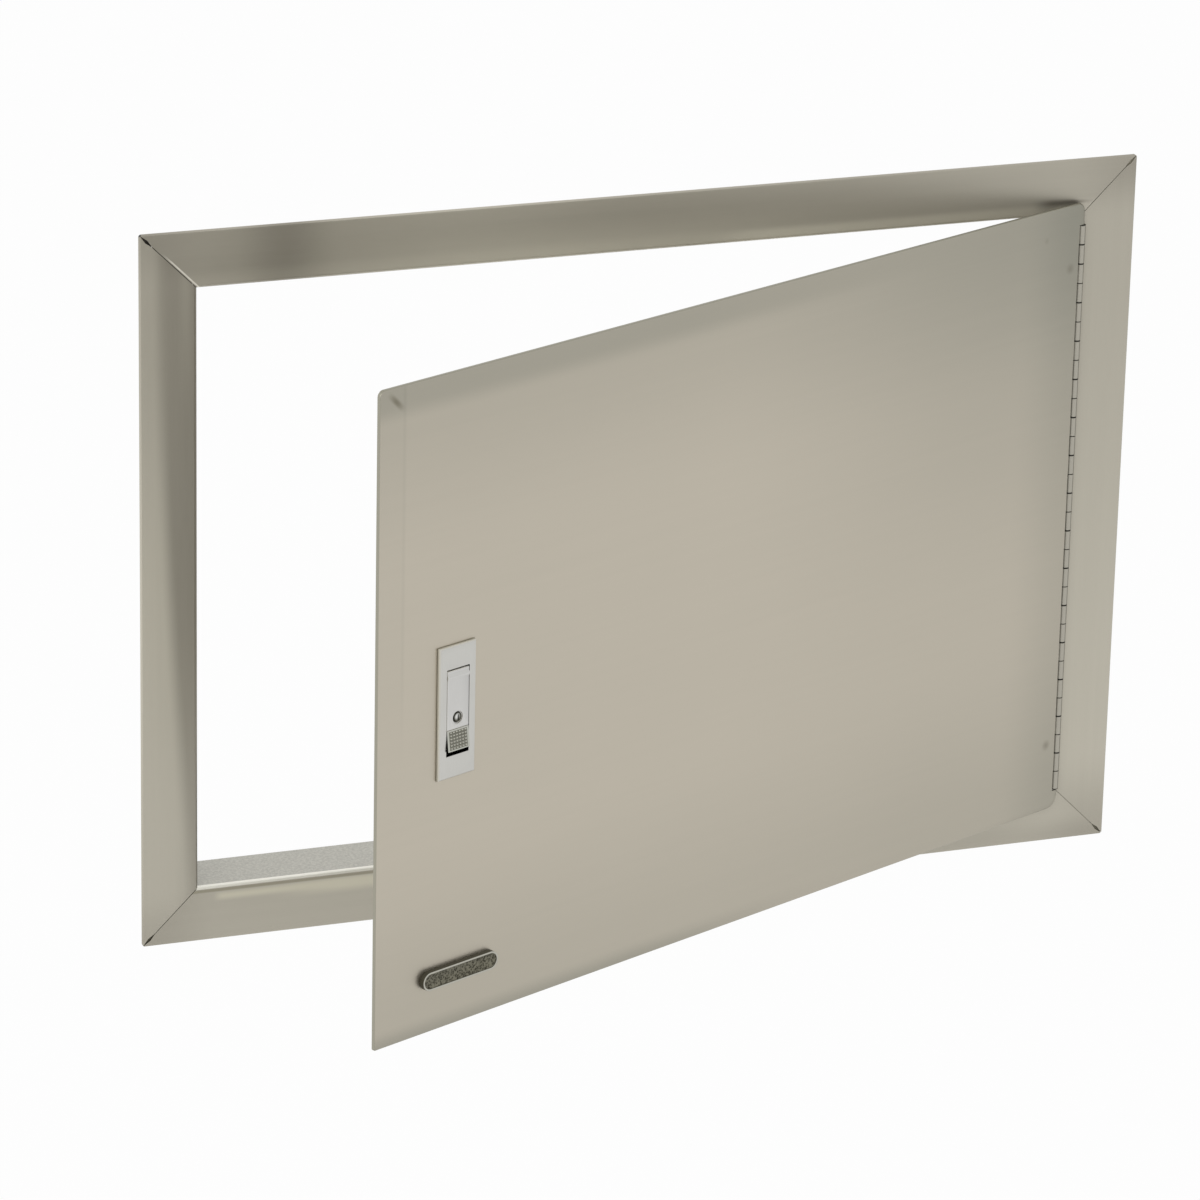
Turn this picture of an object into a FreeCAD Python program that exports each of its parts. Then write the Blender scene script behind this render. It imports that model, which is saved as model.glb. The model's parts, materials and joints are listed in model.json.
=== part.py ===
import FreeCAD, Part
import math
import os
from types import SimpleNamespace

import Sketcher
from FreeCAD import Placement, Rotation, Vector

# Access door for an outdoor kitchen island, in millimetres.
# X runs to the right, Z up and Y into the wall. The origin is the centre of the opening, in the
# plane of the wall that the frame lies against. The door is hinged on the right and stands open.

SIZES = (
    # The frame: four rails folded from sheet and mitred at the corners
    ("frame_width", 647.7),
    ("frame_height", 460),
    ("face_width", 36),
    ("gauge", 1.2),
    ("bend_radius", 1.2),
    ("frame_hem", 8),
    ("jamb_depth", 40.5),
    ("mitre_gap", 0.4),
    ("relief_start", 1.2),
    ("relief_length", 9),
    ("relief_width", 1.6),
    ("corner_round", 2.5),
    ("screw_hole", 5),
    ("screw_inset", 10),
    ("screw_end", 103),
    ("gusset_arm", 62),
    ("gusset_gap", 0.5),
    ("gusset_bevel", 4),
    # The continuous hinge
    ("knuckle_length", 12.7),
    ("hinge_margin", 3),
    ("knuckle_gap", 0.5),
    ("leaf_gauge", 1.15),
    ("leaf_reach", 19),
    ("leaf_gap", 0.45),
    ("pin_diameter", 2.4),
    ("pin_clearance", 0.05),
    ("pin_end", 0.4),
    ("bore_sides", 12),
    ("hinge_drop", 2.7),
    # The door
    ("open_angle", 23.9),
    ("stand_off", 1.4),
    ("lap_free", 13.4),
    ("lap_top", 8.8),
    ("lap_bottom", 11.2),
    ("door_hem", 19),
    ("hem_slit", 0.4),
    ("fold_round", 1),
    ("tab_reach", 0.5),
    ("tab_gap", 0.5),
    ("barrel_gap", 1.6),
    ("free_top_round", 4),
    ("free_bottom_round", 1.2),
    ("hinge_top_round", 6),
    ("hinge_bottom_round", 8),
    ("bumper_diameter", 10),
    ("bumper_gap", 0.2),
    ("bumper_inset", 53),
    # The badge plate
    ("badge_length", 58.5),
    ("badge_height", 11.8),
    ("badge_proud", 3.6),
    ("badge_rim", 1.2),
    ("badge_field", 0.6),
    ("badge_setback", 65.2),
    ("badge_rise", 34.2),
    # The latch: bezel and case in one casting
    ("latch_setback", 60.5),
    ("latch_drop", 4.9),
    ("bezel_width", 28.8),
    ("bezel_height", 82.6),
    ("bezel_proud", 2.5),
    ("bezel_bevel", 1),
    ("window_width", 17.6),
    ("window_height", 54),
    ("case_wall", 1.8),
    ("case_end", 3),
    ("case_depth", 20),
    ("cutout_gap", 0.3),
    ("cover_gauge", 1.5),
    ("cover_gap", 0),
    ("ledge_depth", 2),
    # Lever, its pivot and its arm
    ("side_gap", 0.3),
    ("lever_plate", 2.5),
    ("lever_top_gap", 0.8),
    ("lever_top_round", 1),
    ("lever_low", 10.7),
    ("pivot_height", 22),
    ("pivot_diameter", 2),
    ("pivot_clearance", 0.05),
    ("hub_radius", 3),
    ("arm_thickness", 4),
    ("arm_width", 5),
    ("arm_spare", 1.5),
    ("lever_swing", 32),
    # Lock plug and cam
    ("key_drop", 3.9),
    ("plug_diameter", 6.4),
    ("plug_proud", 0.3),
    ("plug_bevel", 0.6),
    ("lock_ring", 0.6),
    ("lock_ring_depth", 0.7),
    ("plug_tail", 4),
    ("keyway_width", 0.8),
    ("keyway_height", 3.6),
    ("keyway_depth", 5),
    ("boss_diameter", 10),
    ("boss_depth", 7),
    ("cam_reach", 7),
    ("cam_width", 4.6),
    ("cam_gauge", 1.2),
    ("cam_gap", 0.3),
    ("clip_diameter", 6),
    ("clip_gauge", 0.8),
    # Push pad
    ("pad_gap", 0.25),
    ("pad_foot_gap", 3.2),
    ("pad_rise", 1.5),
    ("pad_plate", 2.4),
    ("pad_pivot_depth", 2.5),
    ("pad_pivot_drop", 2.3),
    ("rib_count", 6),
    ("rib_pitch", 1.9),
    ("rib_height", 0.4),
    ("rib_margin", 1.7),
    # Bolt and its guide
    ("bolt_gauge", 3),
    ("bolt_depth", 10.5),
    ("bolt_travel", 9),
    ("bolt_throw", 6.5),
    ("bolt_low", 5),
    ("shank_height", 14),
    ("nose_depth", 8),
    ("nose_length", 12),
    ("nose_flat", 1.2),
    ("bolt_gap", 0.35),
    ("slot_gap", 0.8),
    ("guide_gauge", 1.5),
    ("guide_length", 12),
    ("guide_offset", 5.4),
    ("guide_foot", 8),
    # Springs, brackets and screws
    ("wire_diameter", 0.7),
    ("bolt_spring_diameter", 4.6),
    ("bolt_spring_turns", 5),
    ("wire_sides", 6),
    ("leaf_spring_gauge", 0.4),
    ("leaf_spring_width", 6),
    ("leaf_spring_top", 8),
    ("leaf_spring_tip", 1.2),
    ("leaf_spring_rise", 7),
    ("spring_seat", 0.02),
    ("bracket_gauge", 1.5),
    ("bracket_leg", 12),
    ("bracket_width", 14),
    ("bracket_height", 9),
    ("screw_diameter", 3),
    ("screw_head", 5.6),
    ("screw_head_height", 2),
    ("screw_grip", 2.4),
    ("screw_depth", 6),
    ("socket_across", 2.5),
)


class Size:
    # A length or angle: the sheet's expression for it beside its present number
    def __init__(self, text, number):
        self.text = text
        self.number = number

    def join(self, other, sign, number):
        return Size(f"({self.text} {sign} {sized(other).text})", number)

    def __add__(self, other):
        return self.join(other, "+", self.number + sized(other).number)

    def __sub__(self, other):
        return self.join(other, "-", self.number - sized(other).number)

    def __mul__(self, other):
        return self.join(other, "*", self.number * sized(other).number)

    def __truediv__(self, other):
        return self.join(other, "/", self.number / sized(other).number)

    def __neg__(self):
        return sized(0) - self

    def __rsub__(self, other):
        return sized(other) - self

    __radd__ = __add__
    __rmul__ = __mul__


def sized(value):
    return value if isinstance(value, Size) else Size(repr(float(value)), float(value))


def cosine(angle):
    return Size(f"cos({angle.text})", math.cos(math.radians(angle.number)))


def whole(number):
    return Size(f"floor({number.text})", math.floor(number.number))


def sine(angle):
    return Size(f"sin({angle.text})", math.sin(math.radians(angle.number)))


doc = FreeCAD.newDocument("AccessDoor")
sheet = doc.addObject("Spreadsheet::Sheet", "Sizes")
for row, (name, value) in enumerate(SIZES, start=1):
    sheet.set(f"A{row}", name)
    sheet.set(f"B{row}", str(value))
    sheet.setAlias(f"B{row}", name)
doc.recompute()
size = SimpleNamespace(**{name: Size(f"Sizes.{name}", float(value)) for name, value in SIZES})

half_width = size.frame_width / 2
half_height = size.frame_height / 2
opening_x = half_width - size.face_width
opening_z = half_height - size.face_width
fold = size.gauge * 2
jamb_end = size.jamb_depth - fold
root_half = math.sqrt(0.5)

# Hinge: its axis stands in front of the frame, in line with the frame leaf
skin_back = -size.leaf_gauge / 2
skin_front = skin_back - size.gauge
hem_back = skin_back + size.gauge
axis_x = opening_x - size.leaf_gauge / 2
axis_y = -fold - size.stand_off - hem_back
bore_radius = size.pin_diameter / 2 + size.pin_clearance
barrel_radius = bore_radius + size.leaf_gauge
knuckle_pairs = whole((opening_z * 2 - size.hinge_margin) / (size.knuckle_length * 2))
hinge_length = size.knuckle_length * 2 * knuckle_pairs
hinge_low = -size.hinge_drop - hinge_length / 2
hinge_top = hinge_low + hinge_length

# Door outline, from the hinge axis
door_left = -(axis_x + opening_x + size.lap_free)
door_top = opening_z + size.lap_top
door_low = -(opening_z + size.lap_bottom)
hinge_edge = -(barrel_radius + size.barrel_gap)
hem_end = -(size.leaf_reach + 1)
door_cos = cosine(size.open_angle)
door_sin = sine(size.open_angle)

# Latch, from its own centre on the door's front face
latch_x = door_left + size.latch_setback
latch_z = -size.latch_drop
window_x = size.window_width / 2
window_z = size.window_height / 2
case_x = window_x + size.case_wall
case_z = window_z + size.case_end
lever_x = window_x - size.side_gap
pivot_hole = size.pivot_diameter / 2 + size.pivot_clearance
pin_half = case_x - 0.4
plug_hole = size.plug_diameter / 2 + size.pin_clearance
cam_front = size.boss_depth + size.cam_gap
cam_back = cam_front + size.cam_gauge
pad_top = -(size.lever_low + size.pad_gap)
pad_low = -(window_z - size.pad_foot_gap)
pad_pivot_z = pad_top - size.pad_pivot_drop
bolt_back = size.bolt_depth + size.bolt_gauge
bolt_middle = size.bolt_depth + size.bolt_gauge / 2
nose_front = bolt_middle - size.nose_depth / 2
nose_back = bolt_middle + size.nose_depth / 2
shank_top = size.bolt_low + size.shank_height
jamb_x = -(axis_x + opening_x) - latch_x
bolt_tip = jamb_x - size.bolt_throw


def place(piece, x, y, z, axis=Vector(0, 0, 1), angle=0):
    x, y, z, angle = (sized(value) for value in (x, y, z, angle))
    turn = Rotation(axis, angle.number)
    piece.Placement = Placement(Vector(x.number, y.number, z.number), turn)
    for end, value in (("Base.x", x), ("Base.y", y), ("Base.z", z), ("Rotation.Angle", angle)):
        piece.setExpression(f"Placement.{end}", value.text)


def place_on_door(piece, x=0, y=0, z=0):
    # x, y and z are measured from the hinge axis with the door shut
    across = axis_x + door_cos * x - door_sin * y
    inward = axis_y + door_sin * x + door_cos * y
    place(piece, across, inward, z, angle=size.open_angle)


def place_in_latch(piece):
    place_on_door(piece, latch_x, skin_front, latch_z)


def new_body(label):
    body = doc.addObject("PartDesign::Body", label)
    body.Label = label
    return body


def new_sketch(body, plane, offset):
    offset = sized(offset)
    sketch = body.newObject("Sketcher::SketchObject", f"{body.Name}_sketch")
    support = [item for item in body.Origin.OriginFeatures if item.Role == plane][0]
    sketch.AttachmentSupport = [(support, "")]
    sketch.MapMode = "FlatFace"
    sketch.AttachmentOffset = Placement(Vector(0, 0, offset.number), Rotation())
    sketch.setExpression("AttachmentOffset.Base.z", offset.text)
    return sketch


def fix(sketch, kind, *where, value):
    index = sketch.addConstraint(Sketcher.Constraint(kind, *where, value.number))
    sketch.setExpression(f"Constraints[{index}]", value.text)


def draw_outline(sketch, points, arcs=()):
    # arcs holds (index of its first point, radius, +1 where it turns left on the way round)
    points = [(sized(x), sized(y)) for x, y in points]
    bends = {index: (sized(radius), side) for index, radius, side in arcs}
    first = sketch.GeometryCount
    count = len(points)
    flat = [Vector(x.number, y.number, 0) for x, y in points]
    for index in range(count):
        start = flat[index]
        end = flat[(index + 1) % count]
        if index in bends:
            radius, side = bends[index]
            chord = end - start
            height = math.sqrt(radius.number ** 2 - (chord.Length / 2) ** 2)
            across = Vector(-chord.y, chord.x, 0).normalize() * side
            middle = (start + end) / 2 + across * (height - radius.number)
            sketch.addGeometry(Part.Arc(start, middle, end), False)
        else:
            sketch.addGeometry(Part.LineSegment(start, end), False)
    for index, (x, y) in enumerate(points):
        here = first + index
        after = first + (index + 1) % count
        # A left-turning arc runs from its point 1, a right-turning one from its point 2
        turned = index in bends and bends[index][1] < 0
        start_end = 2 if turned else 1
        far_end = 1 if turned else 2
        next_start = 2 if (index + 1) % count in bends and bends[(index + 1) % count][1] < 0 else 1
        sketch.addConstraint(Sketcher.Constraint("Coincident", here, far_end, after, next_start))
        fix(sketch, "DistanceX", -1, 1, here, start_end, value=x)
        fix(sketch, "DistanceY", -1, 1, here, start_end, value=y)
    for index, (radius, side) in bends.items():
        fix(sketch, "Radius", first + index, value=radius)


def draw_box(sketch, x_low, x_high, y_low, y_high):
    draw_outline(sketch, [(x_low, y_low), (x_high, y_low), (x_high, y_high), (x_low, y_high)])


def draw_circle(sketch, x, y, radius):
    x, y, radius = sized(x), sized(y), sized(radius)
    centre = Vector(x.number, y.number, 0)
    index = sketch.addGeometry(Part.Circle(centre, Vector(0, 0, 1), radius.number), False)
    fix(sketch, "DistanceX", -1, 1, index, 3, value=x)
    fix(sketch, "DistanceY", -1, 1, index, 3, value=y)
    fix(sketch, "Radius", index, value=radius)


def finish_feature(body, feature, grows):
    before = body.Tip.Shape.Volume if body.Tip and body.Tip != feature else 0.0
    body.Tip = feature
    doc.recompute()
    after = feature.Shape.Volume
    changed = after > before if grows else after < before
    if not changed:
        raise RuntimeError(f"{feature.Label} of {body.Label} leaves the volume as it was")
    return feature


def grow(body, sketch, length, both_ways=False):
    before = body.Tip
    pad = body.newObject("PartDesign::Pad", f"{body.Name}_pad")
    pad.Profile = sketch
    pad.SideType = "Symmetric" if both_ways else "One side"
    pad.Length = sized(length).number
    pad.setExpression("Length", sized(length).text)
    body.Tip = before
    return finish_feature(body, pad, True)


def cut(body, sketch, length, both_ways=False):
    before = body.Tip
    pocket = body.newObject("PartDesign::Pocket", f"{body.Name}_pocket")
    pocket.Profile = sketch
    pocket.SideType = "Symmetric" if both_ways else "One side"
    pocket.Length = sized(length).number
    pocket.setExpression("Length", sized(length).text)
    body.Tip = before
    return finish_feature(body, pocket, False)


def slab(body, y_low, y_high):
    # A sketch whose pad fills y_low to y_high, and that pad's length. Its x is X and its y is Z.
    return new_sketch(body, "XZ_Plane", -sized(y_high)), sized(y_high) - y_low


def hollow(body, y_low, y_high):
    # The same for a pocket, which runs the other way
    return new_sketch(body, "XZ_Plane", -sized(y_low)), sized(y_high) - y_low


def repeat(body, feature, spacing, count, direction):
    pattern = body.newObject("PartDesign::LinearPattern", f"{body.Name}_pattern")
    pattern.Originals = [feature]
    axis = [item for item in body.Origin.OriginFeatures if item.Role == direction][0]
    pattern.Direction = (axis, [""])
    pattern.Mode = "Spacing"
    pattern.Offset = spacing.number
    pattern.setExpression("Offset", spacing.text)
    pattern.Occurrences = int(count.number)
    pattern.setExpression("Occurrences", count.text)
    body.Tip = pattern
    doc.recompute()
    return pattern


def edges_where(shape, test):
    return [f"Edge{number}" for number, edge in enumerate(shape.Edges, start=1) if test(edge)]


def lies_at(edge, **where):
    # True where both ends of a straight edge have these coordinates
    ends = [vertex.Point for vertex in edge.Vertexes]
    return len(ends) == 2 and all(
        abs(getattr(end, axis) - sized(value).number) < 0.01
        for end in ends
        for axis, value in where.items()
    )


def dress(body, kind, names, value):
    # kind is Fillet with a radius or Chamfer with a size
    before = body.Tip
    feature = body.newObject(f"PartDesign::{kind}", f"{body.Name}_{kind.lower()}")
    feature.Base = (before, names)
    setting = "Radius" if kind == "Fillet" else "Size"
    setattr(feature, setting, sized(value).number)
    feature.setExpression(setting, sized(value).text)
    body.Tip = feature
    doc.recompute()
    return feature


def make_rail(label, length, x, z, turn, details=None):
    # The rail lies along X with its outer edge at z 0 and the opening above it
    rail = new_body(label)
    section = new_sketch(rail, "YZ_Plane", 0)
    wall = size.face_width - size.gauge
    draw_outline(section, [
        (-fold, 0),
        (0, 0),
        (0, size.frame_hem),
        (-size.gauge, size.frame_hem),
        (-size.gauge, wall),
        (jamb_end, wall),
        (jamb_end, size.face_width),
        (-fold, size.face_width),
    ])
    shape = grow(rail, section, length, both_ways=True).Shape
    outer_bend = edges_where(shape, lambda edge: lies_at(edge, y=-fold, z=size.face_width))
    dress(rail, "Fillet", outer_bend, size.bend_radius + size.gauge)
    inner_bend = edges_where(rail.Shape, lambda edge: lies_at(edge, y=-size.gauge, z=wall))
    dress(rail, "Fillet", inner_bend, size.bend_radius)
    hem_fold = edges_where(
        rail.Shape, lambda edge: lies_at(edge, y=-fold, z=0) or lies_at(edge, y=0, z=0)
    )
    dress(rail, "Fillet", hem_fold, size.gauge * 0.9)
    reach = size.face_width + 1
    depth = size.jamb_depth * 2
    for side in (-1, 1):
        # The rails meet at 45 degrees behind, and their front layer leaves a groove
        end = length / 2
        slant = end - size.mitre_gap * root_half
        low = size.relief_start
        step = size.relief_length * root_half
        dent = size.relief_width / 2 * root_half
        mitre = new_sketch(rail, "XZ_Plane", 0)
        draw_outline(mitre, [
            (side * (end + 1), -1),
            (side * (end - reach), reach),
            (side * (end + 5), reach),
            (side * (end + 5), -1),
        ])
        cut(rail, mitre, depth, both_ways=True)
        groove, layer = hollow(rail, -fold - 1, -size.gauge)
        draw_outline(groove, [
            (side * (slant + 1), -1),
            (side * (slant - low), low),
            (side * (slant - low - step / 2 - dent), low + step / 2 - dent),
            (side * (slant - low - step), low + step),
            (side * (slant - reach), reach),
            (side * (end - reach + 1), reach),
            (side * (end + 2), -1),
        ])
        cut(rail, groove, layer)
        corner = new_sketch(rail, "XZ_Plane", 0)
        start = end - size.corner_round
        draw_outline(corner, [
            (side * start, 0),
            (side * (start + size.corner_round * root_half), size.corner_round * (1 - root_half)),
            (side * (end + 1), size.corner_round * (1 - root_half)),
            (side * (end + 1), -1),
            (side * start, -1),
        ], arcs=[(0, size.corner_round, side)])
        cut(rail, corner, depth, both_ways=True)
    if details:
        details(rail)
    place(rail, x, 0, z, Vector(0, 1, 0), turn)


def jamb_sketch(rail):
    # A sketch on the opening's side of the jamb, and the depth that goes through it
    return new_sketch(rail, "XY_Plane", size.face_width + 1), size.gauge + 2


def drill_jamb(rail):
    sketch, depth = jamb_sketch(rail)
    for side in (-1, 1):
        across = side * (half_height - size.screw_end)
        draw_circle(sketch, across, jamb_end - size.screw_inset, size.screw_hole / 2)
    cut(rail, sketch, depth)


def cut_strike(rail):
    # The bolt's slot, where the bolt lies with the door shut. The stile's X is minus the part's Z.
    drill_jamb(rail)
    sketch, depth = jamb_sketch(rail)
    front = axis_y + skin_front + nose_front - size.slot_gap
    back = axis_y + skin_front + nose_back + size.slot_gap
    low = latch_z + size.bolt_low - size.slot_gap
    high = latch_z + shank_top + size.slot_gap
    draw_box(sketch, -high, -low, front, back)
    cut(rail, sketch, depth)


def make_frame():
    make_rail("frame_bottom_rail", size.frame_width, 0, -half_height, 0)
    make_rail("frame_top_rail", size.frame_width, 0, half_height, 180)
    make_rail("frame_latch_stile", size.frame_height, -half_width, 0, 90, cut_strike)
    make_rail("frame_hinge_stile", size.frame_height, half_width, 0, -90, drill_jamb)


def make_gusset(label, x, z, turn):
    # A corner plate behind the faces, between the hems and the bends
    gusset = new_body(label)
    near = size.frame_hem + size.gusset_gap
    far = size.face_width - size.gauge - size.bend_radius - size.gusset_gap
    arm = size.gusset_arm
    sketch, thickness = slab(gusset, -size.gauge, 0)
    draw_outline(sketch, [(near, near), (arm, near), (arm, far), (far, far), (far, arm), (near, arm)])
    shape = grow(gusset, sketch, thickness).Shape
    tips = edges_where(shape, lambda edge: lies_at(edge, x=arm) or lies_at(edge, z=arm))
    tips = [name for name in tips if abs(shape.getElement(name).Vertexes[0].Point.y
                                         - shape.getElement(name).Vertexes[1].Point.y) > 0.01]
    dress(gusset, "Chamfer", tips, size.gusset_bevel)
    place(gusset, x, 0, z, Vector(0, 1, 0), turn)


def make_gussets():
    make_gusset("corner_gusset_bottom_left", -half_width, -half_height, 0)
    make_gusset("corner_gusset_bottom_right", half_width, -half_height, -90)
    make_gusset("corner_gusset_top_left", -half_width, half_height, 90)
    make_gusset("corner_gusset_top_right", half_width, half_height, 180)


def make_leaf(label, first_gap):
    # One leaf of the hinge, reaching towards -X, with every second knuckle cut away
    leaf = new_body(label)
    plate = new_sketch(leaf, "XY_Plane", hinge_low)
    draw_box(plate, -size.leaf_reach, 0, -size.leaf_gauge / 2, size.leaf_gauge / 2)
    grow(leaf, plate, hinge_length)
    barrel = new_sketch(leaf, "XY_Plane", hinge_low)
    draw_circle(barrel, 0, 0, barrel_radius)
    grow(leaf, barrel, hinge_length)
    # The rolled sheet lies on the pin in flats
    flats = size.bore_sides.number
    corner = bore_radius / cosine(sized(180) / size.bore_sides)
    turns = [sized(360) * index / size.bore_sides for index in range(int(flats))]
    bore = new_sketch(leaf, "XY_Plane", hinge_top)
    draw_outline(bore, [(corner * cosine(turn), corner * sine(turn)) for turn in turns])
    cut(leaf, bore, hinge_length)
    gap_height = size.knuckle_length + size.knuckle_gap
    top = hinge_low + size.knuckle_length * (first_gap + 1) + size.knuckle_gap / 2
    notch = new_sketch(leaf, "XY_Plane", top)
    clear = barrel_radius + size.leaf_gap
    draw_box(notch, -clear, clear, -clear, clear)
    pocket = cut(leaf, notch, gap_height)
    repeat(leaf, pocket, size.knuckle_length * 2, knuckle_pairs, "Z_Axis")
    return leaf


def make_hinge():
    place(make_leaf("hinge_frame_leaf", 1), axis_x, axis_y, 0, angle=-90)
    place_on_door(make_leaf("hinge_door_leaf", 0))
    pin = new_body("hinge_pin")
    sketch = new_sketch(pin, "XY_Plane", hinge_low)
    draw_circle(sketch, 0, 0, size.pin_diameter / 2)
    shape = grow(pin, sketch, hinge_length).Shape
    dress(pin, "Chamfer", edges_where(shape, lambda edge: len(edge.Vertexes) == 1), size.pin_end)
    place(pin, axis_x, axis_y, 0)


def make_door_skin():
    skin = new_body("door_skin")
    sketch, thickness = slab(skin, skin_front, skin_back)
    top_step = hinge_top + size.tab_gap
    low_step = hinge_low - size.tab_gap
    draw_outline(sketch, [
        (door_left, door_low),
        (size.tab_reach, door_low),
        (size.tab_reach, low_step),
        (hinge_edge, low_step),
        (hinge_edge, top_step),
        (size.tab_reach, top_step),
        (size.tab_reach, door_top),
        (door_left, door_top),
    ])
    grow(skin, sketch, thickness)
    corners = (
        (door_left, door_top, size.free_top_round),
        (size.tab_reach, door_top, size.hinge_top_round),
        (size.tab_reach, door_low, size.hinge_bottom_round),
    )
    hem_sketch, hem_thickness = slab(skin, skin_back, hem_back)
    draw_outline(hem_sketch, [
        (door_left, door_low),
        (hem_end, door_low),
        (hem_end, door_low + size.door_hem),
        (door_left + size.door_hem, door_low + size.door_hem),
        (door_left + size.door_hem, door_top - size.door_hem),
        (hem_end, door_top - size.door_hem),
        (hem_end, door_top),
        (door_left, door_top),
    ])
    grow(skin, hem_sketch, hem_thickness)
    for x, z, radius in corners:
        dress(skin, "Fillet", edges_where(skin.Shape, lambda edge: lies_at(edge, x=x, z=z)), radius)
    low_corner = edges_where(skin.Shape, lambda edge: lies_at(edge, x=door_left, z=door_low))
    dress(skin, "Fillet", low_corner, size.free_bottom_round)
    for z, side in ((door_low, 1), (door_top, -1)):
        # The slit where two hems meet at 45 degrees
        slit, depth = hollow(skin, skin_back, hem_back + 1)
        half = size.hem_slit * root_half
        reach = size.door_hem + 1
        draw_outline(slit, [
            (door_left + 1 + half, z + side * (1 - half)),
            (door_left + reach + half, z + side * (reach - half)),
            (door_left + reach - half, z + side * (reach + half)),
            (door_left + 1 - half, z + side * (1 + half)),
        ])
        cut(skin, slit, depth)
    opening, depth = hollow(skin, skin_front - 1, skin_back + 1)
    draw_box(
        opening,
        latch_x - case_x - size.cutout_gap,
        latch_x + case_x + size.cutout_gap,
        latch_z - case_z - size.cutout_gap,
        latch_z + case_z + size.cutout_gap,
    )
    cut(skin, opening, depth)

    def on_rim(edge):
        # The front edges along the top, the free side and the bottom
        middle = edge.valueAt((edge.FirstParameter + edge.LastParameter) / 2)
        if abs(middle.y - skin_front.number) > 0.01:
            return False
        ends = [vertex.Point for vertex in edge.Vertexes]
        if len(ends) != 2 or abs(ends[0].y - ends[1].y) > 0.01:
            return False
        inside = size.free_bottom_round.number + size.hinge_bottom_round.number
        near_top = middle.z > door_top.number - inside / 2
        near_low = middle.z < door_low.number + inside / 2
        near_left = middle.x < door_left.number + inside / 2
        straight_in = lies_at(edge, x=size.tab_reach)
        return (near_top or near_low or near_left) and not straight_in

    dress(skin, "Fillet", edges_where(skin.Shape, on_rim), size.fold_round)
    place_on_door(skin)


def make_bumpers():
    # Two soft pads on the hem of the free side
    pads = []
    for side in (-1, 1):
        pad = doc.addObject("Part::Cylinder", "bumper")
        pad.setExpression("Radius", (size.bumper_diameter / 2).text)
        pad.setExpression("Height", (size.stand_off - size.bumper_gap).text)
        height = door_top - size.bumper_inset if side > 0 else door_low + size.bumper_inset
        place(pad, door_left + size.lap_free / 2, hem_back, height, Vector(1, 0, 0), -90)
        pads.append(pad)
    group = doc.addObject("Part::Compound", "door_bumpers")
    group.Label = "door_bumpers"
    group.Links = pads
    place_on_door(group)


def draw_round_ended(sketch, half_length, half_tall):
    straight = half_length - half_tall
    draw_outline(sketch, [
        (-straight, -half_tall),
        (straight, -half_tall),
        (straight, half_tall),
        (-straight, half_tall),
    ], arcs=[(1, half_tall + 0.02, 1), (3, half_tall + 0.02, 1)])


def make_badge():
    # A bare plate with round ends, a raised rim and a sunk field
    badge = new_body("badge")
    half_length = size.badge_length / 2
    half_tall = size.badge_height / 2
    plate, thickness = slab(badge, -size.badge_proud, 0)
    draw_round_ended(plate, half_length, half_tall)
    grow(badge, plate, thickness)
    field, depth = hollow(badge, -size.badge_proud, size.badge_field - size.badge_proud)
    draw_round_ended(field, half_length - size.badge_rim, half_tall - size.badge_rim)
    cut(badge, field, depth)
    place_on_door(
        badge, door_left + size.badge_setback, skin_front, door_low + size.badge_rise
    )


def make_latch_case():
    case = new_body("latch_case")
    bezel, proud = slab(case, -size.bezel_proud, 0)
    half_bezel = size.bezel_width / 2
    half_tall = size.bezel_height / 2
    draw_box(bezel, -half_bezel, half_bezel, -half_tall, half_tall)
    grow(case, bezel, proud)
    front = edges_where(case.Shape, lambda edge: lies_at(edge, y=-size.bezel_proud))
    dress(case, "Chamfer", front, size.bezel_bevel)
    box, depth = slab(case, 0, size.case_depth)
    draw_box(box, -case_x, case_x, -case_z, case_z)
    grow(case, box, depth)
    window, through = hollow(case, -size.bezel_proud - 1, size.case_depth + 1)
    draw_box(window, -window_x, window_x, -window_z, window_z)
    cut(case, window, through)
    # Slots in both side walls that the bolt runs through
    slots = new_sketch(case, "YZ_Plane", case_x + 1)
    draw_box(
        slots,
        size.bolt_depth - size.bolt_gap,
        bolt_back + size.bolt_gap,
        size.bolt_low - size.bolt_gap,
        window_z - 1 + size.bolt_gap,
    )
    cut(case, slots, case_x * 2 + 2)
    # The ledge beside the lock, just clear of the cam
    ledge, ledge_depth = slab(case, cam_front - size.cam_gap - size.ledge_depth, cam_front - size.cam_gap)
    ledge_x = size.cam_reach + size.cam_gap
    half_cam = size.cam_width / 2 + 1
    draw_box(ledge, ledge_x, window_x + 0.5, -size.key_drop - half_cam, half_cam - size.key_drop)
    grow(case, ledge, ledge_depth)
    # Holes for the two pivot pins
    pivots = new_sketch(case, "YZ_Plane", pin_half)
    draw_circle(pivots, 0, size.pivot_height, size.pivot_diameter / 2)
    draw_circle(pivots, size.pad_pivot_depth, pad_pivot_z, size.pivot_diameter / 2)
    cut(case, pivots, pin_half * 2)
    # Screw holes in both end walls
    for side in (-1, 1):
        start = case_z if side > 0 else -case_z + size.screw_grip
        drill = new_sketch(case, "XY_Plane", start)
        draw_circle(drill, 0, size.screw_depth, size.screw_diameter / 2)
        cut(case, drill, size.screw_grip)
    place_in_latch(case)


def make_latch_cover():
    cover = new_body("latch_back_cover")
    sketch, thickness = slab(cover, size.case_depth - size.cover_gauge, size.case_depth)
    half_x = window_x - size.cover_gap
    half_z = window_z - size.cover_gap
    draw_box(sketch, -half_x, half_x, -half_z, half_z)
    grow(cover, sketch, thickness)
    place_in_latch(cover)


def make_pivot_pin(label, y, z):
    pin = new_body(label)
    sketch = new_sketch(pin, "YZ_Plane", 0)
    draw_circle(sketch, y, z, size.pivot_diameter / 2)
    grow(pin, sketch, pin_half * 2, both_ways=True)
    place_in_latch(pin)


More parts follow.
